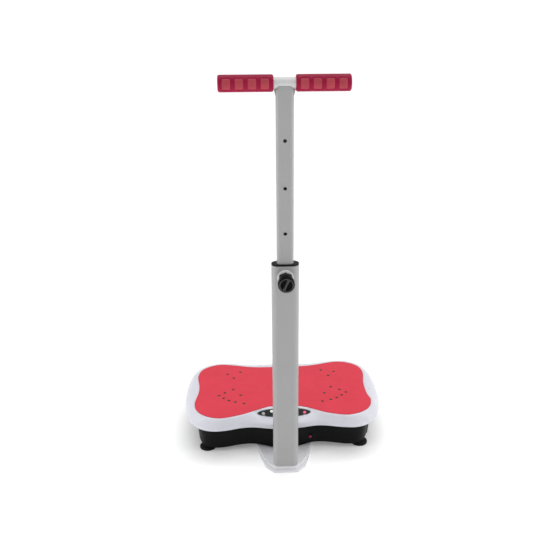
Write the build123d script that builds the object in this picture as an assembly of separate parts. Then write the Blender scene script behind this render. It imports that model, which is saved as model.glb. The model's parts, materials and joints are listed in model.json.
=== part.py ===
from build123d import *
import os
from math import atan2, cos, degrees, radians, sin

# Rocking vibration plate with a height-adjustable T handle.  Millimetres, +Z up.
# Origin: on the floor, in the middle of the object's footprint.  The user stands on the
# deck and faces -Y, where the post, its locking knob and the T handle are.

# ---------------------------------------------------------------- driving dimensions
DECK_LENGTH = 530.0          # across the user, along X
DECK_DEPTH = 320.0           # along Y
DECK_Y = 54.5                # centre of the deck behind the origin
DECK_LIP_Z = 75.0            # lower edge of the deck cover's skirt
DECK_WIDEST_Z = 90.0         # height at which the cover is widest
DECK_SHOULDER_Z = 103.0      # where the border turns over into the top
DECK_TOP_Z = 111.0           # flat rim around the mat
LIP_INSET = 4.5              # the skirt tucks in by this much at its lower edge
SHOULDER_BLEND = 0.35        # how far the shoulder lies from the widest line to the rim
RIM_WIDTH = 2.5              # flat rim outside the mat
COVER_WALL = 3.0

MAT_BOTTOM_Z = 109.0
MAT_TOP_Z = 112.0
MAT_GAP = 0.4
STUD_DIA = 7.6
STUD_HEIGHT = 0.9

BASE_BOTTOM_Z = 13.0
BASE_TOP_Z = 84.0
BASE_WALL = 3.0
BASE_FLARE = 6.0             # the base widens by this much towards its top
FLOOR_Z = BASE_BOTTOM_Z + BASE_WALL

FOOT_PLACES = [(x, y) for x in (-203, 203) for y in (-112, 96)]   # from the deck's centre
FOOT_DIA = 44.0
FOOT_NECK_DIA = 26.0

POST_Y = -154.5
POST_WIDTH = 63.0
POST_DEPTH = 30.0
POST_WALL = 1.5
POST_BOTTOM_Z = 10.0
POST_TOP_Z = 558.5
CAP_HEIGHT = 3.5
MAST_WIDTH = 38.0
MAST_DEPTH = 20.0
MAST_CORNER = 9.0
MAST_WALL = 1.5
MAST_BOTTOM_Z = 350.0
SLIDE_GAP = 0.3
PIN_Z = 531.0
HOLE_PITCH = 103.0           # one step of the height adjustment
HOLE_DIA = 8.0
HOLE_COUNT = 4

BAR_Z = 957.0
BAR_DIA = 23.0
BAR_WALL = 2.0
BAR_LENGTH = 274.0
GRIP_DIA = 35.0
GRIP_LENGTH = 114.0
GRIP_END = 6.0
PAD_WIDTH = 18.2
PAD_PITCH = 26.2
PAD_ARC = 88.0               # degrees of the grip's girth that a pad covers
PAD_COUNT = 4

KNOB_DIA = 38.0
KNOB_DEPTH = 22.0
KNOB_FACE_Y = -214.5
COLLAR_DIA = 28.0
WASHER_DIA = 38.0
PLUNGER_DIA = 7.4

PIVOT_Z = 60.0
SHAFT_DIA = 12.0
BEARING_DIA = 28.0
BEARING_WIDTH = 8.0
RUNNING_GAP = 0.03
RAIL_Y = 58.0                # frame rails in front of and behind the deck's centre
RAIL_WIDTH = 25.0
BASE_RAIL_HEIGHT = 16.0
BASE_RAIL_LENGTH = 440.0
DECK_RAIL_Z = 94.0
DECK_RAIL_HEIGHT = 12.0
DECK_RAIL_LENGTH = 420.0
BRACKET_Y = 36.0

CRANK_X = 90.0
CRANK_Z = 46.0
ECCENTRICITY = 1.6
LINK_PIN_Z = 83.0
LINK_Y = -40.0
LINK_GAP = 3.5               # room in the rod's big end, where the linkage is left open
MOTOR_X = 166.0
MOTOR_DIA = 58.0
MOTOR_LENGTH = 64.0
BELT_Y = 38.0
BELT_WIDTH = 8.0
BELT_GAP = 0.35
DRIVEN_DIA = 50.0
DRIVER_DIA = 14.0

PANEL_Y = -124.5             # centre of the control panel, from the deck's centre
PANEL_HALF_WIDTH = 70.0
PANEL_HALF_HEIGHT = 16.5
LENS_PROUD = 0.5
LENS_SEAT = 2.0
TRAY_EDGE = 4.5               # width of the shelf under the window beyond its edge
BUTTON_DIA = 9.0
BUTTON_TRAVEL = 0.8

BOARD_TOP = -10.4            # top of the panel's circuit board, below the panel's face
BOARD_THICKNESS = 1.6
BOARD_BOSS_X = 76.0

EAR_OFFSET = 8.0             # ears either side of the drive rod's small end
EAR_WIDTH = 5.0
LINK_PIN_DIA = 8.0
ECCENTRIC_DIA = 24.0
ECCENTRIC_BEARING_DIA = 35.0
CRANK_BLOCK_Y = 20.0
MOTOR_FACE_Y = 24.0
MOTOR_SHAFT_DIA = 6.0
BELT_THICKNESS = 1.6
DECK_SCREW_DIA = 5.0
DECK_SCREW_PLACES = [(x, y) for x in (-180, -45, 45, 180) for y in (-RAIL_Y, RAIL_Y)]

BOSS_X = -162.0              # flat pad on the back for the inlet and the switch
BOSS_Z = 42.0
BOSS_BACK = 134.0            # from the deck's centre
INLET_X = -176.0
INLET_BODY = (22.0, 14.0)    # width and height of the part that goes through the wall
SWITCH_X = -144.0
SWITCH_BODY = (19.0, 22.0)
SWITCH_WELL = (14.0, 17.0)
ROCKER_Y = DECK_Y + BOSS_BACK - 2.0
SENSOR_X = 69.0
SENSOR_Z = 34.0
SENSOR_DIA = 8.0

ROCKER_PIN_DIA = 3.0
BOARD_HOLES = [(x, y) for x in (-166, -78) for y in (-34, 34)]

BUSH_DIA = 12.0              # threaded bush of the lock, through the post's front wall
WASHER_THICKNESS = 1.5
COLLAR_DEPTH = 21.0
CHAMBER_FRONT_Y = POST_Y - 33.0
CHAMBER_BACK_Y = POST_Y - 18.0
CHAMBER_DIA = 13.0
PLUNGER_CLEAR = 0.35         # the tip is drawn this far short of the mast

FOOT_SCREW_DIA = 6.0
FOOT_BOLT_DIA = 8.0
FOOT_BOLT_PLACES = [(x, DECK_Y + y) for x in (-40, 40) for y in (-110, -82)]
FOOT_PLATE_TOP = 4.0
CHANNEL_WALL = 2.5
SIDE_PIN_Y = DECK_Y - 188.0

# Half outlines, seen from above and measured from the deck's centre, front to back.
COVER_HALF = [
    (0, -156), (46, -153), (90, -146), (128, -151.5), (168, -160), (214, -151),
    (246, -120), (260, -70), (265, -12), (262, 48), (251, 100), (224, 139),
    (178, 160), (137, 154), (100, 147), (50, 149.5), (0, 152),
]
MAT_HALF = [
    (0, -100), (46, -103), (88, -123), (125, -142), (161, -149), (202, -138),
    (229, -110), (236, -76), (228, -8), (235, 60), (226, 97), (203, 117),
    (165, 127), (125, 118), (85, 108), (40, 105), (0, 105),
]
BASE_HALF = [
    (0, -143), (36, -141), (60, -131), (92, -125.5), (130, -131), (170, -139),
    (208, -128), (225, -96), (229, -30), (228, 40), (221, 90), (198, 119),
    (165, 129), (128, 124), (92, 120), (45, 122), (0, 123),
]
FOOT_PLATE_HALF = [(30, -234), (50, -213), (58, -190), (73, -128), (73, -58)]
CHANNEL_HALF = [(26, -227), (44, -207), (51, -190), (56, -186), (71, -128), (71, -60)]
# Acupressure studs under the right foot: heel, ball and toes.
STUDS = [
    (152, 70), (116, 79), (134, 48), (135, -13), (157, -28), (114, -43),
    (173, -42), (160, -56), (145, -68), (128, -76), (105, -84),
]
BUTTONS = {
    "mode": (-54.0, -1.0),
    "speed_down": (-32.0, 6.0),
    "speed_up": (32.0, 6.0),
    "power": (54.0, -1.0),
}


# ---------------------------------------------------------------- helpers
def save(name, *shapes):
    """Write one node as one STEP file."""
    shape = shapes[0] if len(shapes) == 1 else Compound(children=list(shapes))
    export_step(shape, f"parts/{name}.step")


def inset(points, amount):
    """Pull an outline in by about the given amount on every side."""
    x_scale = 1 - amount / (DECK_LENGTH / 2)
    y_scale = 1 - amount / (DECK_DEPTH / 2)
    return [(x * x_scale, y * y_scale) for x, y in points]


def blend(points, others, share):
    return [
        (x + (u - x) * share, y + (v - y) * share)
        for (x, y), (u, v) in zip(points, others)
    ]


def face_at(half, z):
    """Smooth closed face at height z, through a half outline and its mirror image."""
    turn = len(half) // 2
    left = [(-x, y) for x, y in half]
    edges = [
        Spline(*half[:turn + 1], tangents=[(1, 0), (0, 1)]),
        Spline(*half[turn:], tangents=[(0, 1), (-1, 0)]),
        Spline(*reversed(left[turn:]), tangents=[(-1, 0), (0, -1)]),
        Spline(*reversed(left[:turn + 1]), tangents=[(0, -1), (1, 0)]),
    ]
    return Pos(0, DECK_Y, z) * make_face(edges)


def box_between(low, high):
    size = [b - a for a, b in zip(low, high)]
    middle = [(a + b) / 2 for a, b in zip(low, high)]
    return Pos(*middle) * Box(*size)


def rod_y(x, z, y_from, y_to, dia):
    """Round bar along Y."""
    length = y_to - y_from
    return Pos(x, (y_from + y_to) / 2, z) * Rot(90, 0, 0) * Cylinder(dia / 2, length)


def rod_x(y, z, x_from, x_to, dia):
    """Round bar along X."""
    length = x_to - x_from
    return Pos((x_from + x_to) / 2, y, z) * Rot(0, 90, 0) * Cylinder(dia / 2, length)


def rod_z(x, y, z_from, z_to, dia):
    """Round bar along Z."""
    return Pos(x, y, (z_from + z_to) / 2) * Cylinder(dia / 2, z_to - z_from)


def ring_y(x, z, y_from, y_to, outer, inner):
    return rod_y(x, z, y_from, y_to, outer) - rod_y(x, z, y_from - 1, y_to + 1, inner)


def oval_bar(width, depth, z_from, z_to):
    """Upright flat-oval bar with half-round ends, on the post's axis."""
    profile = Pos(0, POST_Y, z_from) * SlotOverall(width, depth)
    return extrude(profile, z_to - z_from)


def mast_bar(width, depth, corner, z_from, z_to):
    """Upright round-cornered bar on the post's axis."""
    profile = Pos(0, POST_Y, z_from) * RectangleRounded(width, depth, corner)
    return extrude(profile, z_to - z_from)


# The panel lies on the sloping front border.
MAT_FRONT = MAT_HALF[0][1] - RIM_WIDTH
SHOULDER_FRONT = COVER_HALF[0][1] + (MAT_FRONT - COVER_HALF[0][1]) * SHOULDER_BLEND
PANEL_RUN = MAT_FRONT - SHOULDER_FRONT
PANEL_DROP = DECK_TOP_Z - DECK_SHOULDER_Z
PANEL_TILT = degrees(atan2(PANEL_DROP, PANEL_RUN))
PANEL_Z = DECK_TOP_Z - (MAT_FRONT - PANEL_Y) * PANEL_DROP / PANEL_RUN


def on_panel(shape):
    """Move a shape from the panel's own axes, with Z out of it, to the deck."""
    return Pos(0, DECK_Y + PANEL_Y, PANEL_Z) * Rot(PANEL_TILT, 0, 0) * shape


# ---------------------------------------------------------------- deck
def deck_form(pull, drop):
    """Solid outer shape of the deck cover, pulled in and lowered by the given amounts."""
    rim_half = inset(MAT_HALF, -RIM_WIDTH)
    shoulder = blend(COVER_HALF, rim_half, SHOULDER_BLEND)
    lip = face_at(inset(COVER_HALF, LIP_INSET + pull), DECK_LIP_Z - drop)
    widest = face_at(inset(COVER_HALF, pull), DECK_WIDEST_Z - drop)
    turn = face_at(inset(shoulder, pull), DECK_SHOULDER_Z - drop)
    rim = face_at(inset(rim_half, pull), DECK_TOP_Z - drop)
    return loft([lip, widest, turn, rim], ruled=True)


def panel_oval(grow, low, high):
    """Oval plate in the panel's own axes, from low to high above its surface."""
    oval = Ellipse(PANEL_HALF_WIDTH + grow, PANEL_HALF_HEIGHT + grow)
    return on_panel(Pos(0, 0, low) * extrude(oval, high - low))


def make_deck_cover():
    outer = deck_form(0, 0)
    inner = deck_form(COVER_WALL, COVER_WALL)
    tray = panel_oval(TRAY_EDGE, -LENS_SEAT - 2, -1)
    recess = extrude(face_at(MAT_HALF, MAT_BOTTOM_Z), COVER_WALL)
    floor = extrude(face_at(inset(MAT_HALF, -1), MAT_BOTTOM_Z - COVER_WALL), COVER_WALL)
    cover = outer - inner + tray + floor - recess
    cover -= panel_oval(0.3, -LENS_SEAT, 20)
    cover -= panel_oval(-2, -20, 20)
    for x in (-BOARD_BOSS_X, BOARD_BOSS_X):
        height = 1 - COVER_WALL - BOARD_TOP
        cover += on_panel(Pos(x, 0, BOARD_TOP + height / 2) * Cylinder(3, height))
    return cover


def make_deck_mat():
    return extrude(face_at(inset(MAT_HALF, MAT_GAP), MAT_BOTTOM_Z), MAT_TOP_Z - MAT_BOTTOM_Z)


def make_mat_studs():
    """Low domes on the mat, under both feet."""
    studs = []
    for x, y in STUDS:
        for side in (-1, 1):
            place = Pos(side * x, DECK_Y + y, MAT_TOP_Z + STUD_HEIGHT / 2)
            stud = place * Cylinder(STUD_DIA / 2, STUD_HEIGHT)
            studs.append(fillet(stud.edges().group_by(Axis.Z)[-1], STUD_HEIGHT * 0.7))
    return studs


def make_deck_frame():
    """Ladder of flat bars that the cover is screwed to, with the ears for the drive rod."""
    top = DECK_RAIL_Z + DECK_RAIL_HEIGHT
    half = DECK_RAIL_LENGTH / 2
    frame = Part()
    for y in (-RAIL_Y, RAIL_Y):
        low = (-half, DECK_Y + y - RAIL_WIDTH / 2, DECK_RAIL_Z)
        high = (half, DECK_Y + y + RAIL_WIDTH / 2, top)
        frame += box_between(low, high)
    reach = RAIL_Y - RAIL_WIDTH / 2
    for x in (-CRANK_X, CRANK_X):
        low = (x - RAIL_WIDTH / 2, DECK_Y - reach, DECK_RAIL_Z)
        high = (x + RAIL_WIDTH / 2, DECK_Y + reach, top)
        frame += box_between(low, high)
    for y in (LINK_Y - EAR_OFFSET, LINK_Y + EAR_OFFSET):
        low = (CRANK_X - 11, DECK_Y + y - EAR_WIDTH / 2, LINK_PIN_Z)
        high = (CRANK_X + 11, DECK_Y + y + EAR_WIDTH / 2, DECK_RAIL_Z)
        frame += box_between(low, high)
        frame += rod_y(CRANK_X, LINK_PIN_Z, low[1], high[1], 22)
    frame -= rod_y(CRANK_X, LINK_PIN_Z, DECK_Y - 60, DECK_Y, LINK_PIN_DIA)
    for x, y in DECK_SCREW_PLACES:
        frame -= rod_z(x, DECK_Y + y, DECK_RAIL_Z - 1, top + 1, DECK_SCREW_DIA)
    return frame


def make_link_pin():
    reach = EAR_OFFSET + EAR_WIDTH / 2
    low = DECK_Y + LINK_Y - reach
    pin = rod_y(CRANK_X, LINK_PIN_Z, low, DECK_Y + LINK_Y + reach, LINK_PIN_DIA)
    return pin + rod_y(CRANK_X, LINK_PIN_Z, low - 2, low, LINK_PIN_DIA + 4)


def make_pivot_bracket():
    """Saddle bolted under the deck's rails, carrying the shaft that the deck rocks on."""
    plate_low = DECK_RAIL_Z - 6
    bracket = box_between((-35, DECK_Y - 70, plate_low), (35, DECK_Y + 70, DECK_RAIL_Z))
    for y in (-BRACKET_Y, BRACKET_Y):
        low, high = DECK_Y + y - 3, DECK_Y + y + 3
        bracket += box_between((-20, low, PIVOT_Z), (20, high, plate_low))
        bracket += rod_y(0, PIVOT_Z, low, high, 40)
    return bracket - rod_y(0, PIVOT_Z, DECK_Y - 50, DECK_Y + 50, SHAFT_DIA)


def make_pivot_shaft():
    return rod_y(0, PIVOT_Z, DECK_Y - 74, DECK_Y + 74, SHAFT_DIA)


def make_deck_screws():
    """Screws that come up through the rails and hold the cover's floor."""
    screws = []
    top = DECK_RAIL_Z + DECK_RAIL_HEIGHT
    for x, y in DECK_SCREW_PLACES:
        head = rod_z(x, DECK_Y + y, DECK_RAIL_Z - 3, DECK_RAIL_Z, 9)
        screws.append(head + rod_z(x, DECK_Y + y, DECK_RAIL_Z, top, DECK_SCREW_DIA))
    return screws


def make_panel_lens():
    """Dark oval window of the control panel, with a hole for each button."""
    lens = panel_oval(0, -LENS_SEAT, LENS_PROUD)
    for x, y in BUTTONS.values():
        lens -= on_panel(Pos(x, y, 0) * Cylinder(BUTTON_DIA / 2 + 0.35, 10))
    return lens


def make_panel_display():
    """Two-digit display module on the board, behind the window."""
    height = -LENS_SEAT - BOARD_TOP - 0.5
    return on_panel(Pos(0, 0, BOARD_TOP + height / 2) * Box(34, 16, height))


def make_panel_board():
    board = Box(2 * BOARD_BOSS_X + 8, 24, BOARD_THICKNESS)
    return on_panel(Pos(0, 0, BOARD_TOP - BOARD_THICKNESS / 2) * board)


def make_button(x, y):
    """Round key cap with a flange that keeps it behind the window, and a short stem."""
    cap_low, cap_high = -LENS_SEAT - 0.3, LENS_PROUD + 0.8
    cap = Pos(0, 0, (cap_low + cap_high) / 2) * Cylinder(BUTTON_DIA / 2, cap_high - cap_low)
    cap = fillet(cap.edges().group_by(Axis.Z)[-1], 0.6)
    flange = Pos(0, 0, cap_low - 0.4) * Cylinder(BUTTON_DIA / 2 + 1, 0.8)
    stem_low, stem_high = BOARD_TOP + BUTTON_TRAVEL + 0.4, cap_low - 0.8
    stem = Pos(0, 0, (stem_low + stem_high) / 2) * Cylinder(2, stem_high - stem_low)
    return on_panel(Pos(x, y, 0) * (cap + flange + stem))


# ---------------------------------------------------------------- drive rod and crank
def make_connecting_rod():
    low, high = DECK_Y + LINK_Y - 4, DECK_Y + LINK_Y + 4
    big_bore = ECCENTRIC_BEARING_DIA + 2 * LINK_GAP
    rod = rod_y(CRANK_X, CRANK_Z, low, high, big_bore + 12)
    rod += rod_y(CRANK_X, LINK_PIN_Z, low, high, 17)
    rod += box_between((CRANK_X - 7, low, CRANK_Z + 20), (CRANK_X + 7, high, LINK_PIN_Z))
    rod -= rod_y(CRANK_X, CRANK_Z, low - 1, high + 1, big_bore)
    pin_bore = LINK_PIN_DIA + 2 * RUNNING_GAP
    return rod - rod_y(CRANK_X, LINK_PIN_Z, low - 1, high + 1, pin_bore)


def make_crank_shaft():
    return rod_y(CRANK_X, CRANK_Z, DECK_Y - 46, DECK_Y + 46, SHAFT_DIA)


def make_eccentric():
    """Disc bored off centre for the crank shaft."""
    disc = rod_y(CRANK_X + ECCENTRICITY, CRANK_Z, DECK_Y - 45, DECK_Y - 35, ECCENTRIC_DIA)
    return disc - rod_y(CRANK_X, CRANK_Z, DECK_Y - 50, DECK_Y - 30, SHAFT_DIA)


def make_eccentric_bearing():
    x = CRANK_X + ECCENTRICITY
    return ring_y(x, CRANK_Z, DECK_Y - 44, DECK_Y - 36, ECCENTRIC_BEARING_DIA, ECCENTRIC_DIA)


def make_pulley(x, z, dia, bore):
    """Flat-belt pulley with a low flange on each side of the belt."""
    low = DECK_Y + BELT_Y - BELT_WIDTH / 2 - 0.5
    high = DECK_Y + BELT_Y + BELT_WIDTH / 2 + 0.5
    pulley = rod_y(x, z, low, high, dia)
    pulley += rod_y(x, z, low - 1.2, low, dia + 5)
    pulley += rod_y(x, z, high, high + 1.2, dia + 5)
    return pulley - rod_y(x, z, low - 3, high + 3, bore)


def make_driven_pulley():
    pulley = make_pulley(CRANK_X, CRANK_Z, DRIVEN_DIA, SHAFT_DIA)
    for turn in range(5):
        angle = radians(72 * turn)
        x = CRANK_X + 16 * cos(angle)
        z = CRANK_Z + 16 * sin(angle)
        pulley -= rod_y(x, z, DECK_Y + 20, DECK_Y + 60, 8)
    return pulley


def make_motor_pulley():
    return make_pulley(MOTOR_X, CRANK_Z, DRIVER_DIA, MOTOR_SHAFT_DIA)


def make_motor_shaft():
    face = DECK_Y + MOTOR_FACE_Y
    return rod_y(MOTOR_X, CRANK_Z, face - 10, DECK_Y + BELT_Y + 7, MOTOR_SHAFT_DIA)


def belt_loop(extra, width):
    """Solid that fills the belt's path around both pulleys, standing off by extra."""
    span = MOTOR_X - CRANK_X
    big = DRIVEN_DIA / 2 + extra
    small = DRIVER_DIA / 2 + extra
    lean = (big - small) / span
    rise = (1 - lean**2) ** 0.5
    tangents = Polygon(
        (big * lean, big * rise),
        (span + small * lean, small * rise),
        (span + small * lean, -small * rise),
        (big * lean, -big * rise),
        align=None,
    )
    outline = tangents + Circle(big) + Pos(span, 0) * Circle(small)
    loop = Rot(90, 0, 0) * extrude(outline, width / 2, both=True)
    return Pos(CRANK_X, DECK_Y + BELT_Y, CRANK_Z) * loop


def make_drive_belt():
    outside = belt_loop(BELT_GAP + BELT_THICKNESS, BELT_WIDTH)
    return outside - belt_loop(BELT_GAP, BELT_WIDTH + 2)


# ---------------------------------------------------------------- base
def base_form(pull, low, high):
    """Tapered solid of the base, pulled in by the given amount."""
    bottom = inset(BASE_HALF, pull)
    return loft([face_at(bottom, low), face_at(inset(bottom, -BASE_FLARE), high)], ruled=True)


def make_base_shell():
    """Open tub with a floor, a flat pad at the back and a boss for the sensor window."""
    shell = base_form(0, BASE_BOTTOM_Z, BASE_TOP_Z)
    back = DECK_Y + BOSS_BACK
    pad_low = (BOSS_X - 36, DECK_Y + 112, BOSS_Z - 19)
    pad_high = (BOSS_X + 36, back, BOSS_Z + 19)
    shell += box_between(pad_low, pad_high)
    shell += rod_y(SENSOR_X, SENSOR_Z, DECK_Y - 132, DECK_Y - 120, 14)
    shell -= base_form(BASE_WALL, FLOOR_Z, BASE_TOP_Z + 0.01)
    pocket_low = (pad_low[0] + 3, DECK_Y + 100, pad_low[2] + 3)
    pocket_high = (pad_high[0] - 3, back - 3, pad_high[2] - 3)
    shell -= box_between(pocket_low, pocket_high)
    shell -= rod_y(SENSOR_X, SENSOR_Z, DECK_Y - 140, DECK_Y - 115, SENSOR_DIA)
    shell -= Pos(INLET_X, back, BOSS_Z) * Box(INLET_BODY[0], 20, INLET_BODY[1])
    shell -= Pos(SWITCH_X, back, BOSS_Z) * Box(SWITCH_BODY[0], 20, SWITCH_BODY[1])
    for x, y in FOOT_PLACES:
        shell -= rod_z(x, DECK_Y + y, 0, 30, FOOT_SCREW_DIA)
    for x, y in FOOT_BOLT_PLACES:
        shell -= rod_z(x, y, 0, 30, FOOT_BOLT_DIA)
    return shell


def make_base_frame():
    """Welded ladder on the tub's floor that ties the pivot, the drive and the foot."""
    top = FLOOR_Z + BASE_RAIL_HEIGHT
    half = BASE_RAIL_LENGTH / 2
    frame = Part()
    for y in (-RAIL_Y, RAIL_Y):
        low = (-half, DECK_Y + y - RAIL_WIDTH / 2, FLOOR_Z)
        high = (half, DECK_Y + y + RAIL_WIDTH / 2, top)
        frame += box_between(low, high)
    reach = RAIL_Y - RAIL_WIDTH / 2
    for x in (-212, 212):
        frame += box_between((x - 8, DECK_Y - reach, FLOOR_Z), (x + 8, DECK_Y + reach, top))
    return frame


def make_pivot_blocks():
    """Pillow blocks on the two rails, bored for the pivot's bearings."""
    foot_z = FLOOR_Z + BASE_RAIL_HEIGHT
    blocks = []
    for y in (-RAIL_Y, RAIL_Y):
        low, high = DECK_Y + y - 7, DECK_Y + y + 7
        block = box_between((-32, low - 3, foot_z), (32, high + 3, foot_z + 7))
        block += box_between((-19, low, foot_z), (19, high, PIVOT_Z))
        block += rod_y(0, PIVOT_Z, low, high, 38)
        blocks.append(block - rod_y(0, PIVOT_Z, low - 5, high + 5, BEARING_DIA))
    return blocks


def make_crank_blocks():
    """Pair of upright blocks that carry the crank shaft's bearings."""
    blocks = []
    for y in (-CRANK_BLOCK_Y, CRANK_BLOCK_Y):
        low, high = DECK_Y + y - 6, DECK_Y + y + 6
        block = box_between((CRANK_X - 28, low, FLOOR_Z), (CRANK_X + 28, high, FLOOR_Z + 6))
        block += box_between((CRANK_X - 19, low, FLOOR_Z), (CRANK_X + 19, high, CRANK_Z))
        block += rod_y(CRANK_X, CRANK_Z, low, high, 38)
        blocks.append(block - rod_y(CRANK_X, CRANK_Z, low - 5, high + 5, BEARING_DIA))
    return blocks


def make_shaft_bearings():
    """Four ball bearings of one size, two on the pivot and two on the crank shaft."""
    bore = SHAFT_DIA + 2 * RUNNING_GAP
    half = BEARING_WIDTH / 2
    rings = []
    for x, z, offset in ((0, PIVOT_Z, RAIL_Y), (CRANK_X, CRANK_Z, CRANK_BLOCK_Y)):
        for y in (DECK_Y - offset, DECK_Y + offset):
            rings.append(ring_y(x, z, y - half, y + half, BEARING_DIA, bore))
    return rings


def make_motor_body():
    """Can motor with a stepped front bell and a rear cap."""
    face = DECK_Y + MOTOR_FACE_Y
    rear = face - MOTOR_LENGTH
    body = rod_y(MOTOR_X, CRANK_Z, rear, face, MOTOR_DIA)
    body = chamfer(body.edges().filter_by(GeomType.CIRCLE), 2)
    body += rod_y(MOTOR_X, CRANK_Z, face, face + 3, 20)
    body += rod_y(MOTOR_X, CRANK_Z, rear - 4, rear, 22)
    return body - rod_y(MOTOR_X, CRANK_Z, face - 12, face + 5, MOTOR_SHAFT_DIA + 1)


def make_motor_mount():
    """Angle plate that the motor's face is screwed to."""
    face = DECK_Y + MOTOR_FACE_Y
    left, right = MOTOR_X - 33, MOTOR_X + 33
    mount = box_between((left, face, FLOOR_Z), (right, face + 3, CRANK_Z + 32))
    mount += box_between((left, face + 3, FLOOR_Z), (right, face + 21, FLOOR_Z + 3))
    return mount - rod_y(MOTOR_X, CRANK_Z, face - 1, face + 4, 20)


def make_controller_board():
    board = box_between((-172, DECK_Y - 40, FLOOR_Z + 8), (-72, DECK_Y + 40, FLOOR_Z + 9.6))
    for x, y in BOARD_HOLES:
        board -= rod_z(x, DECK_Y + y, FLOOR_Z, FLOOR_Z + 20, 3.2)
    return board


def make_board_parts():
    """Standoffs under the board, and the heat sink, capacitors, relay and plug on it."""
    top = FLOOR_Z + 9.6
    parts = [rod_z(x, DECK_Y + y, FLOOR_Z, FLOOR_Z + 8, 7) for x, y in BOARD_HOLES]
    sink = box_between((-160, DECK_Y - 28, top), (-124, DECK_Y + 10, top + 5))
    for fin in range(7):
        x = -160 + 5.5 * fin
        sink += box_between((x, DECK_Y - 28, top + 5), (x + 2, DECK_Y + 10, top + 24))
    parts.append(sink)
    for y in (-24, -4, 16):
        can = rod_z(-88, DECK_Y + y, top, top + 22, 14)
        parts.append(fillet(can.edges().group_by(Axis.Z)[-1], 1))
    parts.append(box_between((-114, DECK_Y - 26, top), (-99, DECK_Y - 7, top + 15)))
    parts.append(box_between((-150, DECK_Y + 22, top), (-110, DECK_Y + 34, top + 9)))
    return parts


def make_power_inlet():
    """Two-pin mains inlet with its flange on the back pad."""
    back = DECK_Y + BOSS_BACK
    width, height = INLET_BODY
    inlet = Pos(INLET_X, back - 7, BOSS_Z) * Box(width, 14, height)
    inlet += Pos(INLET_X, back + 1, BOSS_Z) * Box(width + 6, 2, height + 6)
    socket = Rot(90, 0, 0) * extrude(SlotOverall(15, 9), 12)
    inlet -= Pos(INLET_X, back + 2, BOSS_Z) * socket
    for x in (INLET_X - 3.5, INLET_X + 3.5):
        inlet += rod_y(x, BOSS_Z, back - 10, back - 4, 2.4)
    return inlet


def make_rocker_bezel():
    """Frame of the mains switch, with a well for the rocker and holes for its pins."""
    back = DECK_Y + BOSS_BACK
    width, height = SWITCH_BODY
    bezel = Pos(SWITCH_X, back - 7, BOSS_Z) * Box(width, 14, height)
    bezel += Pos(SWITCH_X, back + 0.75, BOSS_Z) * Box(width + 3, 1.5, height + 3)
    bezel -= Pos(SWITCH_X, back - 5, BOSS_Z) * Box(SWITCH_WELL[0], 14, SWITCH_WELL[1])
    pin_bore = ROCKER_PIN_DIA + 2 * RUNNING_GAP
    return bezel - rod_x(ROCKER_Y, BOSS_Z, SWITCH_X - 8.6, SWITCH_X + 8.6, pin_bore)


def make_power_rocker():
    """Rocker with two faces that meet in a shallow vee, on its own pins."""
    half = SWITCH_WELL[1] / 2 - 0.8
    profile = Polygon(
        (-3.5, -half + 1.5),
        (3.6, -half),
        (2.2, 0),
        (3.6, half),
        (-3.5, half - 1.5),
        align=None,
    )
    width = SWITCH_WELL[0] - 1
    body = extrude(Plane.YZ * profile, width / 2, both=True)
    rocker = Pos(SWITCH_X, ROCKER_Y, BOSS_Z) * body
    return rocker + rod_x(ROCKER_Y, BOSS_Z, SWITCH_X - 8.4, SWITCH_X + 8.4, ROCKER_PIN_DIA)


def make_sensor_window():
    """Small domed window of the remote-control sensor."""
    window = rod_y(SENSOR_X, SENSOR_Z, DECK_Y - 132.8, DECK_Y - 126, SENSOR_DIA)
    return fillet(window.edges().group_by(Axis.Y)[0], 0.8)


def make_suction_feet():
    """Rubber cups under the four corners, open underneath."""
    radius = FOOT_DIA / 2
    neck = FOOT_NECK_DIA / 2
    with BuildSketch(Plane.XZ) as section:
        with BuildLine():
            Polyline((3, 3.2), (radius - 4, 1.6), (radius - 1.6, 0), (radius, 0), (radius, 2.4))
            Line((radius, 2.4), (radius - 3, 5.5))
            Line((radius - 3, 5.5), (neck, 8))
            Polyline((neck, 8), (neck, BASE_BOTTOM_Z), (3, BASE_BOTTOM_Z), (3, 3.2))
        make_face()
    cup = revolve(section.sketch, Axis.Z)
    return [Pos(x, DECK_Y + y, 0) * cup for x, y in FOOT_PLACES]


def make_foot_screws():
    screws = []
    for x, y in FOOT_PLACES:
        shank = rod_z(x, DECK_Y + y, 4.5, FLOOR_Z, FOOT_SCREW_DIA)
        screws.append(shank + rod_z(x, DECK_Y + y, FLOOR_Z, FLOOR_Z + 3.5, 11))
    return screws


# ---------------------------------------------------------------- foot of the post
def foot_outline(half, round_radius):
    """Plate outline from half of its corners, with every corner rounded."""
    corners = half + [(-x, y) for x, y in reversed(half)]
    outline = Polygon(*[(x, DECK_Y + y) for x, y in corners], align=None)
    return fillet(outline.vertices(), round_radius)


def make_foot_plate():
    plate = extrude(foot_outline(FOOT_PLATE_HALF, 9), FOOT_PLATE_TOP)
    return fillet(plate.edges().group_by(Axis.Z)[-1], 1.5)


def make_foot_channel():
    """Pressed plate that lies over the foot plate and carries the post."""
    height = POST_BOTTOM_Z - FOOT_PLATE_TOP
    outline = Pos(0, 0, FOOT_PLATE_TOP) * foot_outline(CHANNEL_HALF, 3)
    hollow = Pos(0, 0, FOOT_PLATE_TOP - 1) * offset(foot_outline(CHANNEL_HALF, 3), -CHANNEL_WALL)
    channel = extrude(outline, height)
    channel = fillet(channel.edges().group_by(Axis.Z)[-1], 1.8)
    channel -= extrude(hollow, height + 1 - CHANNEL_WALL)
    for x, y in FOOT_BOLT_PLACES:
        channel -= rod_z(x, y, FOOT_PLATE_TOP, 30, FOOT_BOLT_DIA)
    for side in (-1, 1):
        channel -= side_pin(side)
    return channel


def side_pin(side):
    ends = sorted((side * 46, side * 57.5))
    return rod_x(SIDE_PIN_Y + 8, FOOT_PLATE_TOP + 2.4, ends[0], ends[1], 3.6)


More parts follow.
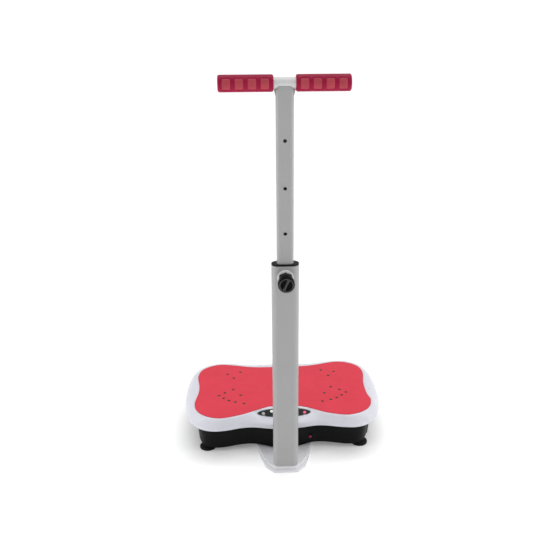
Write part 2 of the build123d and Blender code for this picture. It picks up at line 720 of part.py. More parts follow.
def make_side_pins():
    """Short pins through the channel's side walls."""
    return [side_pin(side) for side in (-1, 1)]


def make_clamp_pad():
    """Rubber sheet between the channel and the underside of the base."""
    low, high = (-56, DECK_Y - 123, POST_BOTTOM_Z), (56, DECK_Y - 67, BASE_BOTTOM_Z)
    pad = box_between(low, high)
    for x, y in FOOT_BOLT_PLACES:
        pad -= rod_z(x, y, 0, 30, FOOT_BOLT_DIA)
    return pad


def make_foot_bolts():
    """Hexagon-head bolts from inside the tub down into the channel."""
    bolts = []
    for x, y in FOOT_BOLT_PLACES:
        head = Pos(x, y, FLOOR_Z) * extrude(RegularPolygon(7.5, 6), 5.3)
        bolts.append(head + rod_z(x, y, FOOT_PLATE_TOP + 0.4, FLOOR_Z, FOOT_BOLT_DIA))
    return bolts


# ---------------------------------------------------------------- post and lock
def make_post_tube():
    post = oval_bar(POST_WIDTH, POST_DEPTH, POST_BOTTOM_Z, POST_TOP_Z)
    inner_width = POST_WIDTH - 2 * POST_WALL
    inner_depth = POST_DEPTH - 2 * POST_WALL
    post -= oval_bar(inner_width, inner_depth, POST_BOTTOM_Z - 1, POST_TOP_Z + 1)
    return post - rod_y(0, PIN_Z, POST_Y - 30, POST_Y, BUSH_DIA)


def make_post_cap():
    """Plastic bushing pressed into the top of the post, which guides the mast."""
    cap = oval_bar(POST_WIDTH, POST_DEPTH, POST_TOP_Z, POST_TOP_Z + CAP_HEIGHT)
    cap = fillet(cap.edges().group_by(Axis.Z)[-1], 1.0)
    inner_width = POST_WIDTH - 2 * POST_WALL
    inner_depth = POST_DEPTH - 2 * POST_WALL
    cap += oval_bar(inner_width, inner_depth, POST_TOP_Z - 16, POST_TOP_Z)
    width = MAST_WIDTH + 2 * SLIDE_GAP
    depth = MAST_DEPTH + 2 * SLIDE_GAP
    corner = MAST_CORNER + SLIDE_GAP
    return cap - mast_bar(width, depth, corner, POST_TOP_Z - 20, POST_TOP_Z + 10)


def make_pin_washer():
    face = POST_Y - POST_DEPTH / 2
    return ring_y(0, PIN_Z, face - WASHER_THICKNESS, face, WASHER_DIA, BUSH_DIA)


def make_pin_collar():
    """Fluted housing of the lock: a bush through the post's wall, and a spring chamber."""
    back = POST_Y - POST_DEPTH / 2 - WASHER_THICKNESS
    front = back - COLLAR_DEPTH
    collar = rod_y(0, PIN_Z, front, back, COLLAR_DIA)
    for turn in range(8):
        angle = radians(45 * turn + 22.5)
        reach = COLLAR_DIA / 2 + 2.2
        x, z = reach * sin(angle), PIN_Z + reach * cos(angle)
        collar -= rod_y(x, z, front - 1, back + 1, 8)
    collar += rod_y(0, PIN_Z, back, POST_Y - POST_DEPTH / 2 + POST_WALL, BUSH_DIA)
    collar -= rod_y(0, PIN_Z, front - 1, POST_Y, PLUNGER_DIA + 2 * RUNNING_GAP)
    return collar - rod_y(0, PIN_Z, CHAMBER_FRONT_Y, CHAMBER_BACK_Y, CHAMBER_DIA)


def make_plunger():
    """Locking pin with the shoulder that its spring pushes on."""
    tip = POST_Y - MAST_DEPTH / 2 - PLUNGER_CLEAR
    plunger = rod_y(0, PIN_Z, KNOB_FACE_Y + 5, tip, PLUNGER_DIA)
    plunger = fillet(plunger.edges().group_by(Axis.Y)[-1], 0.8)
    return plunger + rod_y(0, PIN_Z, CHAMBER_BACK_Y - 2.5, CHAMBER_BACK_Y - 0.5, 11)


def make_pin_spring():
    """Coil spring around the plunger, between the chamber's front wall and the shoulder."""
    length = CHAMBER_BACK_Y - 2.5 - CHAMBER_FRONT_Y - 1.6
    path = Helix(pitch=length / 4, height=length, radius=5.1)
    wire = Plane(origin=path @ 0, z_dir=path % 0) * Circle(0.5)
    coil = sweep(wire, path)
    return Pos(0, CHAMBER_FRONT_Y + 0.8, PIN_Z) * Rot(-90, 0, 0) * coil


def make_pull_knob():
    """Round knob with a raised ring and a moulded bar across its hollow face."""
    back = KNOB_FACE_Y + KNOB_DEPTH
    knob = rod_y(0, PIN_Z, KNOB_FACE_Y, back, KNOB_DIA)
    knob = fillet(knob.edges().filter_by(GeomType.CIRCLE), 2.2)
    hollow = rod_y(0, PIN_Z, KNOB_FACE_Y - 1, KNOB_FACE_Y + 3.5, KNOB_DIA - 9)
    knob -= hollow
    bar = Pos(0, KNOB_FACE_Y + 2.7, PIN_Z) * Rot(0, 24, 0) * Box(5, 3, KNOB_DIA - 8.6)
    knob += bar
    return knob - rod_y(0, PIN_Z, KNOB_FACE_Y + 5, back + 1, PLUNGER_DIA)


# ---------------------------------------------------------------- mast and handle
def make_mast_tube():
    mast = mast_bar(MAST_WIDTH, MAST_DEPTH, MAST_CORNER, MAST_BOTTOM_Z, BAR_Z)
    inner_corner = MAST_CORNER - MAST_WALL
    inner_width = MAST_WIDTH - 2 * MAST_WALL
    inner_depth = MAST_DEPTH - 2 * MAST_WALL
    mast -= mast_bar(inner_width, inner_depth, inner_corner, MAST_BOTTOM_Z - 1, BAR_Z + 1)
    for step in range(HOLE_COUNT):
        mast -= rod_y(0, PIN_Z + HOLE_PITCH * step, POST_Y - 20, POST_Y, HOLE_DIA)
    return mast - rod_x(POST_Y, BAR_Z, -40, 40, BAR_DIA)


def make_mast_glide():
    """Plastic slider plugged into the mast's lower end, which runs inside the post."""
    width = POST_WIDTH - 2 * POST_WALL - 2 * SLIDE_GAP
    depth = POST_DEPTH - 2 * POST_WALL - 2 * SLIDE_GAP
    glide = oval_bar(width, depth, MAST_BOTTOM_Z - 14, MAST_BOTTOM_Z)
    plug_width = MAST_WIDTH - 2 * MAST_WALL
    plug_depth = MAST_DEPTH - 2 * MAST_WALL
    plug_corner = MAST_CORNER - MAST_WALL
    plug_top = MAST_BOTTOM_Z + 18
    return glide + mast_bar(plug_width, plug_depth, plug_corner, MAST_BOTTOM_Z, plug_top)


def make_bar_tube():
    half = BAR_LENGTH / 2 - GRIP_END
    bar = rod_x(POST_Y, BAR_Z, -half, half, BAR_DIA)
    return bar - rod_x(POST_Y, BAR_Z, -half - 1, half + 1, BAR_DIA - 2 * BAR_WALL)


def make_bar_gussets():
    """Small webs welded between the mast's narrow sides and the bar."""
    gussets = []
    for side in (-1, 1):
        corner = side * MAST_WIDTH / 2
        web = Polygon(
            (corner, BAR_Z), (corner + side * 7, BAR_Z), (corner, BAR_Z - 25), align=None
        )
        gusset = extrude(Pos(0, POST_Y, 0) * (Plane.XZ * web), 3, both=True)
        gussets.append(gusset - rod_x(POST_Y, BAR_Z, -40, 40, BAR_DIA))
    return gussets


def pad_ring(side, slot, outer, inner):
    """Front and back arc segments of one pad's place on a grip."""
    first = BAR_LENGTH / 2 - GRIP_LENGTH / 2 - PAD_PITCH * (PAD_COUNT - 1) / 2
    x = side * (first + PAD_PITCH * slot)
    ring = rod_x(POST_Y, BAR_Z, x - PAD_WIDTH / 2, x + PAD_WIDTH / 2, outer)
    ring -= rod_x(POST_Y, BAR_Z, x - PAD_WIDTH, x + PAD_WIDTH, inner)
    reach = outer
    spread = reach * sin(radians(PAD_ARC / 2)) / cos(radians(PAD_ARC / 2))
    wedge = Polygon((0, 0), (reach, spread), (reach, -spread), align=None)
    pads = []
    for turn in (0, 180):
        sector = extrude(Plane.YZ * (Rot(0, 0, turn) * wedge), PAD_WIDTH, both=True)
        pads.append(ring & (Pos(x, POST_Y, BAR_Z) * sector))
    return pads


def make_grip(side):
    """Rubber sleeve with a closed outer end and a shallow pocket for each pad."""
    outer_end = side * BAR_LENGTH / 2
    inner_end = side * (BAR_LENGTH / 2 - GRIP_LENGTH)
    low, high = sorted((outer_end, inner_end))
    grip = rod_x(POST_Y, BAR_Z, low, high, GRIP_DIA)
    grip = fillet(grip.edges().filter_by(GeomType.CIRCLE), 3)
    bore_end = outer_end - side * GRIP_END
    bore_low, bore_high = sorted((bore_end, inner_end - side))
    grip -= rod_x(POST_Y, BAR_Z, bore_low, bore_high, BAR_DIA)
    for slot in range(PAD_COUNT):
        for pocket in pad_ring(side, slot, GRIP_DIA + 2, GRIP_DIA - 2):
            grip -= pocket
    return grip


def make_grip_pads():
    pads = []
    for side in (-1, 1):
        for slot in range(PAD_COUNT):
            pads += pad_ring(side, slot, GRIP_DIA + 0.6, GRIP_DIA - 2)
    return pads


# ---------------------------------------------------------------- write every node
os.makedirs("parts", exist_ok=True)

save("deck_cover", make_deck_cover())
save("deck_mat", make_deck_mat())
save("mat_studs", *make_mat_studs())
save("deck_frame", make_deck_frame())
save("deck_screws", *make_deck_screws())
save("pivot_bracket", make_pivot_bracket())
save("pivot_shaft", make_pivot_shaft())
save("link_pin", make_link_pin())
save("panel_lens", make_panel_lens())
save("panel_display", make_panel_display())
save("panel_board", make_panel_board())
for name, (x, y) in BUTTONS.items():
    save(f"button_{name}", make_button(x, y))

save("connecting_rod", make_connecting_rod())
save("crank_shaft", make_crank_shaft())
save("crank_eccentric", make_eccentric())
save("eccentric_bearing", make_eccentric_bearing())
save("driven_pulley", make_driven_pulley())
save("motor_pulley", make_motor_pulley())
save("motor_shaft", make_motor_shaft())
save("drive_belt", make_drive_belt())

save("base_shell", make_base_shell())
save("base_frame", make_base_frame())
save("pivot_blocks", *make_pivot_blocks())
save("crank_blocks", *make_crank_blocks())
save("shaft_bearings", *make_shaft_bearings())
save("motor_body", make_motor_body())
save("motor_mount", make_motor_mount())
save("controller_board", make_controller_board())
save("board_parts", *make_board_parts())
save("power_inlet", make_power_inlet())
save("rocker_bezel", make_rocker_bezel())
save("power_rocker", make_power_rocker())
save("sensor_window", make_sensor_window())
save("suction_feet", *make_suction_feet())
save("foot_screws", *make_foot_screws())

save("foot_plate", make_foot_plate())
save("foot_channel", make_foot_channel())
save("channel_pins", *make_side_pins())
save("clamp_pad", make_clamp_pad())
save("foot_bolts", *make_foot_bolts())
save("post_tube", make_post_tube())
save("post_cap", make_post_cap())
save("pin_washer", make_pin_washer())
save("pin_collar", make_pin_collar())
save("plunger_pin", make_plunger())
save("pin_spring", make_pin_spring())
save("pull_knob", make_pull_knob())

save("mast_tube", make_mast_tube())
save("mast_glide", make_mast_glide())
save("handle_bar", make_bar_tube())
save("handle_gussets", *make_bar_gussets())
save("grip_left", make_grip(-1))
save("grip_right", make_grip(1))
save("grip_pads", *make_grip_pads())
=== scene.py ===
import json
from math import atan2, ceil, cos, hypot, pi, radians, sin, sqrt

import bmesh
import bpy
from mathutils import Matrix, Vector


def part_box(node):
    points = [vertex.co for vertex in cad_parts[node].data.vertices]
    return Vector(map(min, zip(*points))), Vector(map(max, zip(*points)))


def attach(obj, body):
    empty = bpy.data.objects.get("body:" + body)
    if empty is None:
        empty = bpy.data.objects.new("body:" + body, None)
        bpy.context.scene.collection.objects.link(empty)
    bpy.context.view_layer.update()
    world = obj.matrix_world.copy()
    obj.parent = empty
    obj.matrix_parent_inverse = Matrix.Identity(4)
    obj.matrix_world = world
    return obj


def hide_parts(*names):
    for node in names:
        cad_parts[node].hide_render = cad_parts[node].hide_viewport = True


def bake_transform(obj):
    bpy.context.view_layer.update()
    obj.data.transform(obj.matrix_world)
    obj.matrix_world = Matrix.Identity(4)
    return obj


# Rocking vibration plate with a height-adjustable T handle.  Metres, +Z up, -Y towards the post.

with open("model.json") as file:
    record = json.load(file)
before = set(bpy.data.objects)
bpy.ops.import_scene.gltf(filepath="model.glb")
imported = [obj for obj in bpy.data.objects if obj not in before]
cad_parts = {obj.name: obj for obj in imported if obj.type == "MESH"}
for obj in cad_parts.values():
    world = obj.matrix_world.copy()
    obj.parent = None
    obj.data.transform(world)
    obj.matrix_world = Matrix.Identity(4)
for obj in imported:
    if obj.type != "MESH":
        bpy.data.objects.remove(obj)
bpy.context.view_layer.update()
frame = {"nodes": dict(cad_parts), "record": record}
NODES = frame["nodes"]

MM = 0.001
ROUND_STEPS = 320            # points around the deck's outline


# ---------------------------------------------------------------- materials
def new_material(name):
    """Empty node material with its shader, and object coordinates."""
    material = bpy.data.materials.new(name)
    material.use_nodes = True
    tree = material.node_tree
    tree.nodes.clear()
    output = tree.nodes.new("ShaderNodeOutputMaterial")
    shader = tree.nodes.new("ShaderNodeBsdfPrincipled")
    tree.links.new(shader.outputs["BSDF"], output.inputs["Surface"])
    place = tree.nodes.new("ShaderNodeTexCoord")
    return material, tree, shader, place.outputs["Object"]


def stretched(tree, place, scale):
    mapping = tree.nodes.new("ShaderNodeMapping")
    mapping.inputs["Scale"].default_value = scale
    tree.links.new(place, mapping.inputs["Vector"])
    return mapping.outputs["Vector"]


def noise(tree, place, scale, detail=4.0, rough=0.55):
    node = tree.nodes.new("ShaderNodeTexNoise")
    node.inputs["Scale"].default_value = scale
    node.inputs["Detail"].default_value = detail
    node.inputs["Roughness"].default_value = rough
    tree.links.new(place, node.inputs["Vector"])
    return node.outputs["Fac"]


def cells(tree, place, scale, feature="F1"):
    node = tree.nodes.new("ShaderNodeTexVoronoi")
    node.feature = feature
    node.inputs["Scale"].default_value = scale
    tree.links.new(place, node.inputs["Vector"])
    return node.outputs["Distance"]


def spread(tree, value, low, high, start=0.3, stop=0.7):
    """Maps a texture's middle range onto low to high."""
    node = tree.nodes.new("ShaderNodeMapRange")
    node.inputs["From Min"].default_value = start
    node.inputs["From Max"].default_value = stop
    node.inputs["To Min"].default_value = low
    node.inputs["To Max"].default_value = high
    tree.links.new(value, node.inputs["Value"])
    return node.outputs["Result"]


def two_tone(tree, value, first, second, start=0.35, stop=0.65):
    ramp = tree.nodes.new("ShaderNodeValToRGB")
    ramp.color_ramp.elements[0].position = start
    ramp.color_ramp.elements[0].color = (*first, 1)
    ramp.color_ramp.elements[1].position = stop
    ramp.color_ramp.elements[1].color = (*second, 1)
    tree.links.new(value, ramp.inputs["Fac"])
    return ramp.outputs["Color"]


def mixed(tree, share, first, second):
    node = tree.nodes.new("ShaderNodeMix")
    node.data_type = "RGBA"
    tree.links.new(share, node.inputs["Factor"])
    tree.links.new(first, node.inputs["A"])
    tree.links.new(second, node.inputs["B"])
    return node.outputs["Result"]


def bumped(tree, shader, *layers):
    """Stacks bump layers, each (height, depth in metres)."""
    normal = None
    for height, depth in layers:
        node = tree.nodes.new("ShaderNodeBump")
        node.inputs["Strength"].default_value = 1.0
        node.inputs["Distance"].default_value = depth
        tree.links.new(height, node.inputs["Height"])
        if normal:
            tree.links.new(normal, node.inputs["Normal"])
        normal = node.outputs["Normal"]
    tree.links.new(normal, shader.inputs["Normal"])


def shade(colour, factor):
    return tuple(min(1.0, c * factor) for c in colour)


def surface(name, colour, rough, grain, depth, vary, specular=0.5):
    """Painted, moulded or rubber surface: mottled colour, uneven gloss and a fine grain."""
    material, tree, shader, place = new_material(name)
    broad = noise(tree, place, 14.0, 3.0)
    fine = noise(tree, place, grain, 3.0)
    body = two_tone(tree, broad, shade(colour, 1 - vary), shade(colour, 1 + vary))
    speck = two_tone(tree, fine, shade(colour, 1 - 1.6 * vary), shade(colour, 1 + vary))
    share = spread(tree, noise(tree, place, 160.0, 2.0), 0.25, 0.6)
    tree.links.new(mixed(tree, share, body, speck), shader.inputs["Base Color"])
    gloss = spread(tree, noise(tree, place, 45.0, 4.0), rough - 0.06, rough + 0.07)
    tree.links.new(gloss, shader.inputs["Roughness"])
    shader.inputs["Specular IOR Level"].default_value = specular
    bumped(tree, shader, (fine, depth), (noise(tree, place, grain / 9, 2.0), depth * 2))
    return material


def metal(name, colour, rough, brushed):
    """Bare metal: marks drawn out by brushed, patchy gloss and faint stains."""
    material, tree, shader, place = new_material(name)
    marks = noise(tree, stretched(tree, place, brushed), 900.0, 3.0)
    stain = noise(tree, place, 30.0, 5.0)
    tone = two_tone(tree, stain, shade(colour, 0.88), shade(colour, 1.05))
    line = two_tone(tree, marks, shade(colour, 0.8), shade(colour, 1.1))
    drawn = mixed(tree, spread(tree, marks, 0.2, 0.6), tone, line)
    tree.links.new(drawn, shader.inputs["Base Color"])
    shader.inputs["Metallic"].default_value = 1.0
    tree.links.new(spread(tree, stain, rough - 0.07, rough + 0.1), shader.inputs["Roughness"])
    bumped(tree, shader, (marks, 0.00001))
    return material


def cast(name, colour):
    """As-cast alloy: a pitted skin."""
    material, tree, shader, place = new_material(name)
    pits = cells(tree, place, 700.0)
    skin = noise(tree, place, 120.0, 6.0)
    tree.links.new(two_tone(tree, skin, shade(colour, 0.75), shade(colour, 1.05)),
                   shader.inputs["Base Color"])
    shader.inputs["Metallic"].default_value = 0.9
    tree.links.new(spread(tree, skin, 0.42, 0.62), shader.inputs["Roughness"])
    bumped(tree, shader, (pits, 0.00006), (skin, 0.0001))
    return material


def circuit_board(name, colour):
    """Solder mask over faint tracks."""
    material, tree, shader, place = new_material(name)
    tracks = cells(tree, stretched(tree, place, (1.0, 1.6, 1.0)), 190.0, "DISTANCE_TO_EDGE")
    line = spread(tree, tracks, 1.0, 0.0, 0.02, 0.08)
    plain = two_tone(tree, noise(tree, place, 60.0), shade(colour, 0.85), colour)
    track = two_tone(tree, noise(tree, place, 400.0), shade(colour, 1.6), shade(colour, 2.1))
    tree.links.new(mixed(tree, line, plain, track), shader.inputs["Base Color"])
    tree.links.new(spread(tree, noise(tree, place, 90.0), 0.25, 0.4), shader.inputs["Roughness"])
    bumped(tree, shader, (line, 0.00003))
    return material


def powder_coat(name, colour, rough):
    """Stoved powder coat: orange peel with a few fine specks."""
    material, tree, shader, place = new_material(name)
    peel = noise(tree, place, 420.0, 2.0)
    fine = noise(tree, place, 2400.0, 2.0)
    broad = noise(tree, place, 9.0, 3.0)
    body = two_tone(tree, broad, shade(colour, 0.97), shade(colour, 1.03))
    speck = two_tone(tree, fine, shade(colour, 0.9), shade(colour, 1.06), 0.4, 0.6)
    paint = mixed(tree, spread(tree, peel, 0.2, 0.5), body, speck)
    tree.links.new(paint, shader.inputs["Base Color"])
    tree.links.new(spread(tree, noise(tree, place, 35.0), rough - 0.05, rough + 0.06),
                   shader.inputs["Roughness"])
    bumped(tree, shader, (peel, 0.00005), (fine, 0.000012))
    return material


def dusty_rubber(name, colour):
    """Soft grip pad: matt and dusty.  Its ribs are in the mesh."""
    material, tree, shader, place = new_material(name)
    fine = noise(tree, place, 1500.0, 3.0)
    broad = noise(tree, place, 60.0, 3.0)
    body = two_tone(tree, broad, shade(colour, 0.88), shade(colour, 1.1))
    dust = two_tone(tree, fine, shade(colour, 0.85), shade(colour, 1.15))
    rubber = mixed(tree, spread(tree, fine, 0.2, 0.6), body, dust)
    tree.links.new(rubber, shader.inputs["Base Color"])
    tree.links.new(spread(tree, broad, 0.6, 0.78), shader.inputs["Roughness"])
    shader.inputs["Specular IOR Level"].default_value = 0.2
    bumped(tree, shader, (fine, 0.00004))
    return material


MATERIALS = {
    "base_black": surface("base_black", (0.0032, 0.0033, 0.0038), 0.46, 1500.0, 0.00003, 0.15,
                          specular=0.08),
    "frame_steel": powder_coat("frame_steel", (0.035, 0.035, 0.038), 0.45),
    "cast_metal": cast("cast_metal", (0.55, 0.56, 0.58)),
    "bright_steel": metal("bright_steel", (0.62, 0.62, 0.63), 0.28, (1.0, 6.0, 1.0)),
    "dark_steel": metal("dark_steel", (0.13, 0.13, 0.14), 0.4, (1.0, 6.0, 1.0)),
    "motor_can": metal("motor_can", (0.5, 0.51, 0.53), 0.34, (1.0, 8.0, 1.0)),
    "black_rubber": surface("black_rubber", (0.006, 0.006, 0.0062), 0.6, 1300.0, 0.00004, 0.2,
                            specular=0.16),
    "board_green": circuit_board("board_green", (0.012, 0.1, 0.03)),
    "heat_sink": metal("heat_sink", (0.5, 0.5, 0.52), 0.4, (1.0, 1.0, 9.0)),
    "trim_black": surface("trim_black", (0.004, 0.004, 0.0045), 0.36, 2000.0, 0.00002, 0.15,
                          specular=0.12),
    "sensor_red": surface("sensor_red", (0.26, 0.004, 0.035), 0.2, 300.0, 0.000004, 0.12,
                          specular=0.3),
    "foot_paint": powder_coat("foot_paint", (0.72, 0.72, 0.75), 0.36),
    "tube_paint": powder_coat("tube_paint", (0.365, 0.365, 0.367), 0.34),
    # A lighter grey than tube_paint, to match how bright the bar looks.
    "bar_lighter_grey": powder_coat("bar_lighter_grey", (0.65, 0.655, 0.65), 0.34),
    "washer_white": surface("washer_white", (0.9, 0.9, 0.9), 0.32, 1200.0, 0.00001, 0.02),
    "cover_white": surface("cover_white", (0.64, 0.643, 0.7), 0.32, 1100.0, 0.000005, 0.02,
                           specular=0.35),
    "mat_red": surface("mat_red", (0.66, 0.048, 0.075), 0.72, 1600.0, 0.00006, 0.05,
                       specular=0.2),
    "stud_green": surface("stud_green", (0.05, 0.042, 0.02), 0.5, 1500.0, 0.00003, 0.15,
                          specular=0.2),
    "panel_dark": surface("panel_dark", (0.007, 0.011, 0.0085), 0.3, 700.0, 0.000003, 0.15,
                          specular=0.09),
    "display_grey": surface("display_grey", (0.03, 0.032, 0.034), 0.25, 900.0, 0.000005, 0.1),
    "grip_crimson": surface("grip_crimson", (0.31, 0.004, 0.042), 0.5, 1400.0, 0.00003, 0.08,
                            specular=0.16),
    "grip_pad": dusty_rubber("grip_pad", (0.42, 0.056, 0.076)),
    # Lighter than knob_black: painted highlight on the knob's raised ring and bar, not wear.
    "painted_highlight_black": surface("painted_highlight_black", (0.028, 0.028, 0.03), 0.3, 2000.0, 0.00002, 0.12),
    "knob_black": surface("knob_black", (0.003, 0.003, 0.0034), 0.4, 2000.0, 0.00002, 0.15,
                          specular=0.06),
    "rocker_black": surface("rocker_black", (0.008, 0.008, 0.008), 0.2, 900.0, 0.000006, 0.15),
    "key_silver": surface("key_silver", (0.34, 0.35, 0.34), 0.3, 1500.0, 0.00001, 0.04,
                          specular=0.4),
    "key_white": surface("key_white", (0.74, 0.75, 0.74), 0.3, 1500.0, 0.00001, 0.03),
    "key_red": surface("key_red", (0.78, 0.07, 0.19), 0.28, 1500.0, 0.00001, 0.05),
    "print_white": surface("print_white", (0.72, 0.74, 0.74), 0.45, 2200.0, 0.000004, 0.04),
    "display_lit": surface("display_lit", (0.09, 0.02, 0.02), 0.3, 1600.0, 0.000003, 0.1),
}


# ---------------------------------------------------------------- building pieces
def add_piece(name, bm, body, material, stands_for=(), sharp=32):
    """Turns a bmesh into a piece, which rides on a body unless body is None."""
    bmesh.ops.recalc_face_normals(bm, faces=bm.faces)
    mesh = bpy.data.meshes.new(name)
    bm.to_mesh(mesh)
    bm.free()
    mesh.materials.append(MATERIALS[material])
    mesh.shade_smooth()
    mesh.set_sharp_from_angle(angle=radians(sharp))
    piece = bpy.data.objects.new(name, mesh)
    bpy.context.scene.collection.objects.link(piece)
    if stands_for:
        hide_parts(*stands_for)
    if body:
        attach(piece, body)
    return piece


def around(steps):
    """Evenly spaced angles of one full turn."""
    return [2 * pi * i / steps for i in range(steps)]


def add_rows(bm, rings):
    return [[bm.verts.new(point) for point in ring] for ring in rings]


def join_rows(bm, rows):
    """Quads between successive rows of vertices, each row closed on itself."""
    count = len(rows[0])
    for low, high in zip(rows, rows[1:]):
        for i in range(count):
            j = (i + 1) % count
            bm.faces.new((low[i], low[j], high[j], high[i]))


def skin(bm, rings):
    """Closed form through successive rings of points, capped at both ends."""
    rows = add_rows(bm, rings)
    join_rows(bm, rows)
    bm.faces.new(rows[0][::-1])
    bm.faces.new(rows[-1])


def hoop(bm, rings):
    """Closed band through successive rings of points, the last one joined to the first."""
    rows = add_rows(bm, rings)
    join_rows(bm, rows + [rows[0]])


BEAD_SIDES = 10


def bead_along(bm, path, radius):
    """Round bead along a closed path of points; radius is a function of the point's number."""
    rings = []
    for i, point in enumerate(path):
        along = (path[(i + 1) % len(path)] - path[i - 1]).normalized()
        side = along.cross(Vector((0, 0, 1))).normalized()
        up = side.cross(along)
        rings.append([point + radius(i) * (cos(a) * side + sin(a) * up)
                      for a in around(BEAD_SIDES)])
    hoop(bm, rings)


def cut_away(piece, tool_bm):
    """Cuts a closed form out of a piece, and keeps the result as its mesh."""
    mesh = bpy.data.meshes.new("cutter")
    tool_bm.to_mesh(mesh)
    tool_bm.free()
    tool = bpy.data.objects.new("cutter", mesh)
    bpy.context.scene.collection.objects.link(tool)
    cut = piece.modifiers.new("cut", "BOOLEAN")
    cut.operation = "DIFFERENCE"
    cut.solver = "EXACT"
    cut.object = tool
    bpy.context.view_layer.update()
    evaluated = piece.evaluated_get(bpy.context.evaluated_depsgraph_get())
    result = bpy.data.meshes.new_from_object(evaluated)
    piece.modifiers.clear()
    piece.data = result
    bpy.data.objects.remove(tool)


# ---------------------------------------------------------------- outlines read from the frame
COVER_LOW, COVER_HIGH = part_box("deck_cover")
CENTRE = Vector((0.0, (COVER_LOW.y + COVER_HIGH.y) / 2, 0.0))
SAME_HEIGHT = 0.05 * MM
INNER_WALL = 4 * MM          # points this far inside their neighbours aren't on the outline
CLOSEST = 0.5 * MM
CURVE_PARTS = 10
EVENING = {-2: 0.06, -1: 0.24, 0: 0.4, 1: 0.24, 2: 0.06}


def outline_at(node, height):
    """Outermost points of a CAD node at a height, in order around the deck's centre."""
    near = [v.co for v in NODES[node].data.vertices if abs(v.co.z - height) < SAME_HEIGHT]
    flat = [Vector((p.x, p.y - CENTRE.y)) for p in near]
    polar = sorted((atan2(p.y, p.x), p.length) for p in flat)
    window = 2 * pi / ROUND_STEPS
    outer = []
    for angle, reach in polar:
        beside = max(r for a, r in polar if abs(a - angle) < window)
        point = Vector((reach * cos(angle), reach * sin(angle)))
        if reach > beside - INNER_WALL and (not outer or (point - outer[-1]).length > CLOSEST):
            outer.append(point)
    return outer


def curved(points):
    """Smooth closed curve through points, as many short steps (centripetal Catmull-Rom)."""
    count = len(points)
    path = []
    for i in range(count):
        p = [points[(i + k - 1) % count] for k in range(4)]
        t = [0.0]
        for first, second in zip(p, p[1:]):
            t.append(t[-1] + (second - first).length ** 0.5)
        for k in range(CURVE_PARTS):
            u = t[1] + (t[2] - t[1]) * k / CURVE_PARTS
            a = [p[j] + (p[j + 1] - p[j]) * (u - t[j]) / (t[j + 1] - t[j]) for j in range(3)]
            b = [a[j] + (a[j + 1] - a[j]) * (u - t[j]) / (t[j + 2] - t[j]) for j in range(2)]
            path.append(b[0] + (b[1] - b[0]) * (u - t[1]) / (t[2] - t[1]))
    return path


def smooth_ring(node, height):
    """Outline as one (angle, distance from the centre) per direction, evened out a little."""
    polar = sorted((atan2(p.y, p.x), p.length) for p in curved(outline_at(node, height)))
    (first, first_reach), (last, last_reach) = polar[0], polar[-1]
    polar = [(last - 2 * pi, last_reach)] + polar + [(first + 2 * pi, first_reach)]
    angles = [turn - pi for turn in around(ROUND_STEPS)]
    reaches = []
    after = 1
    for angle in angles:
        while polar[after][0] < angle:
            after += 1
        (a0, r0), (a1, r1) = polar[after - 1], polar[after]
        reaches.append(r0 + (r1 - r0) * (angle - a0) / max(a1 - a0, 1e-9))
    ring = []
    for i, angle in enumerate(angles):
        ring.append((angle, sum(w * reaches[(i + k) % ROUND_STEPS] for k, w in EVENING.items())))
    return ring


def moved_in(ring, amount):
    """The outline moved inwards at right angles to itself, still one point per direction."""
    count = len(ring)
    points = [Vector((r * cos(a), r * sin(a))) for a, r in ring]
    moved = []
    for i in range(count):
        along = (points[(i + 1) % count] - points[i - 1]).normalized()
        moved.append(points[i] + amount * Vector((-along.y, along.x)))
    return moved


def as_points(flat, height):
    return [Vector((p.x, CENTRE.y + p.y, height)) for p in flat]


# ---------------------------------------------------------------- control panel's own axes
LENS_PROUD = 0.5 * MM        # the window's top face stands this far off its seat
LENS_HALF_HEIGHT = 16.5 * MM
OVAL_STEPS = 96
FLAT_NEAR, FLAT_FAR = 5 * MM, 13 * MM    # the cover is flat this near the window, and free this far


def panel_axes():
    """Middle of the window's seat, its up-slope direction and its normal, from its top face."""
    mesh = NODES["panel_lens"].data
    facing = Vector()
    for face in mesh.polygons:
        if face.normal.z > 0.9:
            facing += face.normal * face.area
    facing.normalize()
    low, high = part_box("panel_lens")
    top = max(facing.dot(v.co) for v in mesh.vertices)
    seat = top - LENS_PROUD
    middle_y = (low.y + high.y) / 2
    middle_z = (seat - facing.y * middle_y) / facing.z
    return Vector((0, middle_y, middle_z)), facing.cross(Vector((1, 0, 0))), facing


PANEL_MIDDLE, PANEL_UP, PANEL_NORMAL = panel_axes()
LENS_HALF_WIDTH = (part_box("panel_lens")[1].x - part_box("panel_lens")[0].x) / 2


def on_panel(u, v, height):
    """Point from its place across, up the slope of and above the window's seat."""
    return PANEL_MIDDLE + Vector((u, 0, 0)) + v * PANEL_UP + height * PANEL_NORMAL


def panel_oval(grow, height):
    """The window's outline, grown all round."""
    ring = []
    for angle in around(OVAL_STEPS):
        u = (LENS_HALF_WIDTH + grow) * cos(angle)
        v = (LENS_HALF_HEIGHT + grow) * sin(angle)
        ring.append(on_panel(u, v, height))
    return ring


def smoothstep(value, low, high):
    t = min(1.0, max(0.0, (value - low) / (high - low)))
    return t * t * (3 - 2 * t)


def flattened(point, sink):
    """The point lowered or lifted onto the panel's plane where it is near the window."""
    v = (point.y - PANEL_MIDDLE.y) / PANEL_UP.y
    ratio = hypot(point.x / LENS_HALF_WIDTH, v / LENS_HALF_HEIGHT)
    outside = hypot(point.x, v) * (1 - 1 / ratio) if ratio > 1 else 0.0
    weight = 1 - smoothstep(outside, FLAT_NEAR, FLAT_FAR)
    flat = PANEL_MIDDLE.z + (point.y - PANEL_MIDDLE.y) * PANEL_UP.z / PANEL_UP.y - sink
    return Vector((point.x, point.y, point.z + weight * (flat - point.z)))


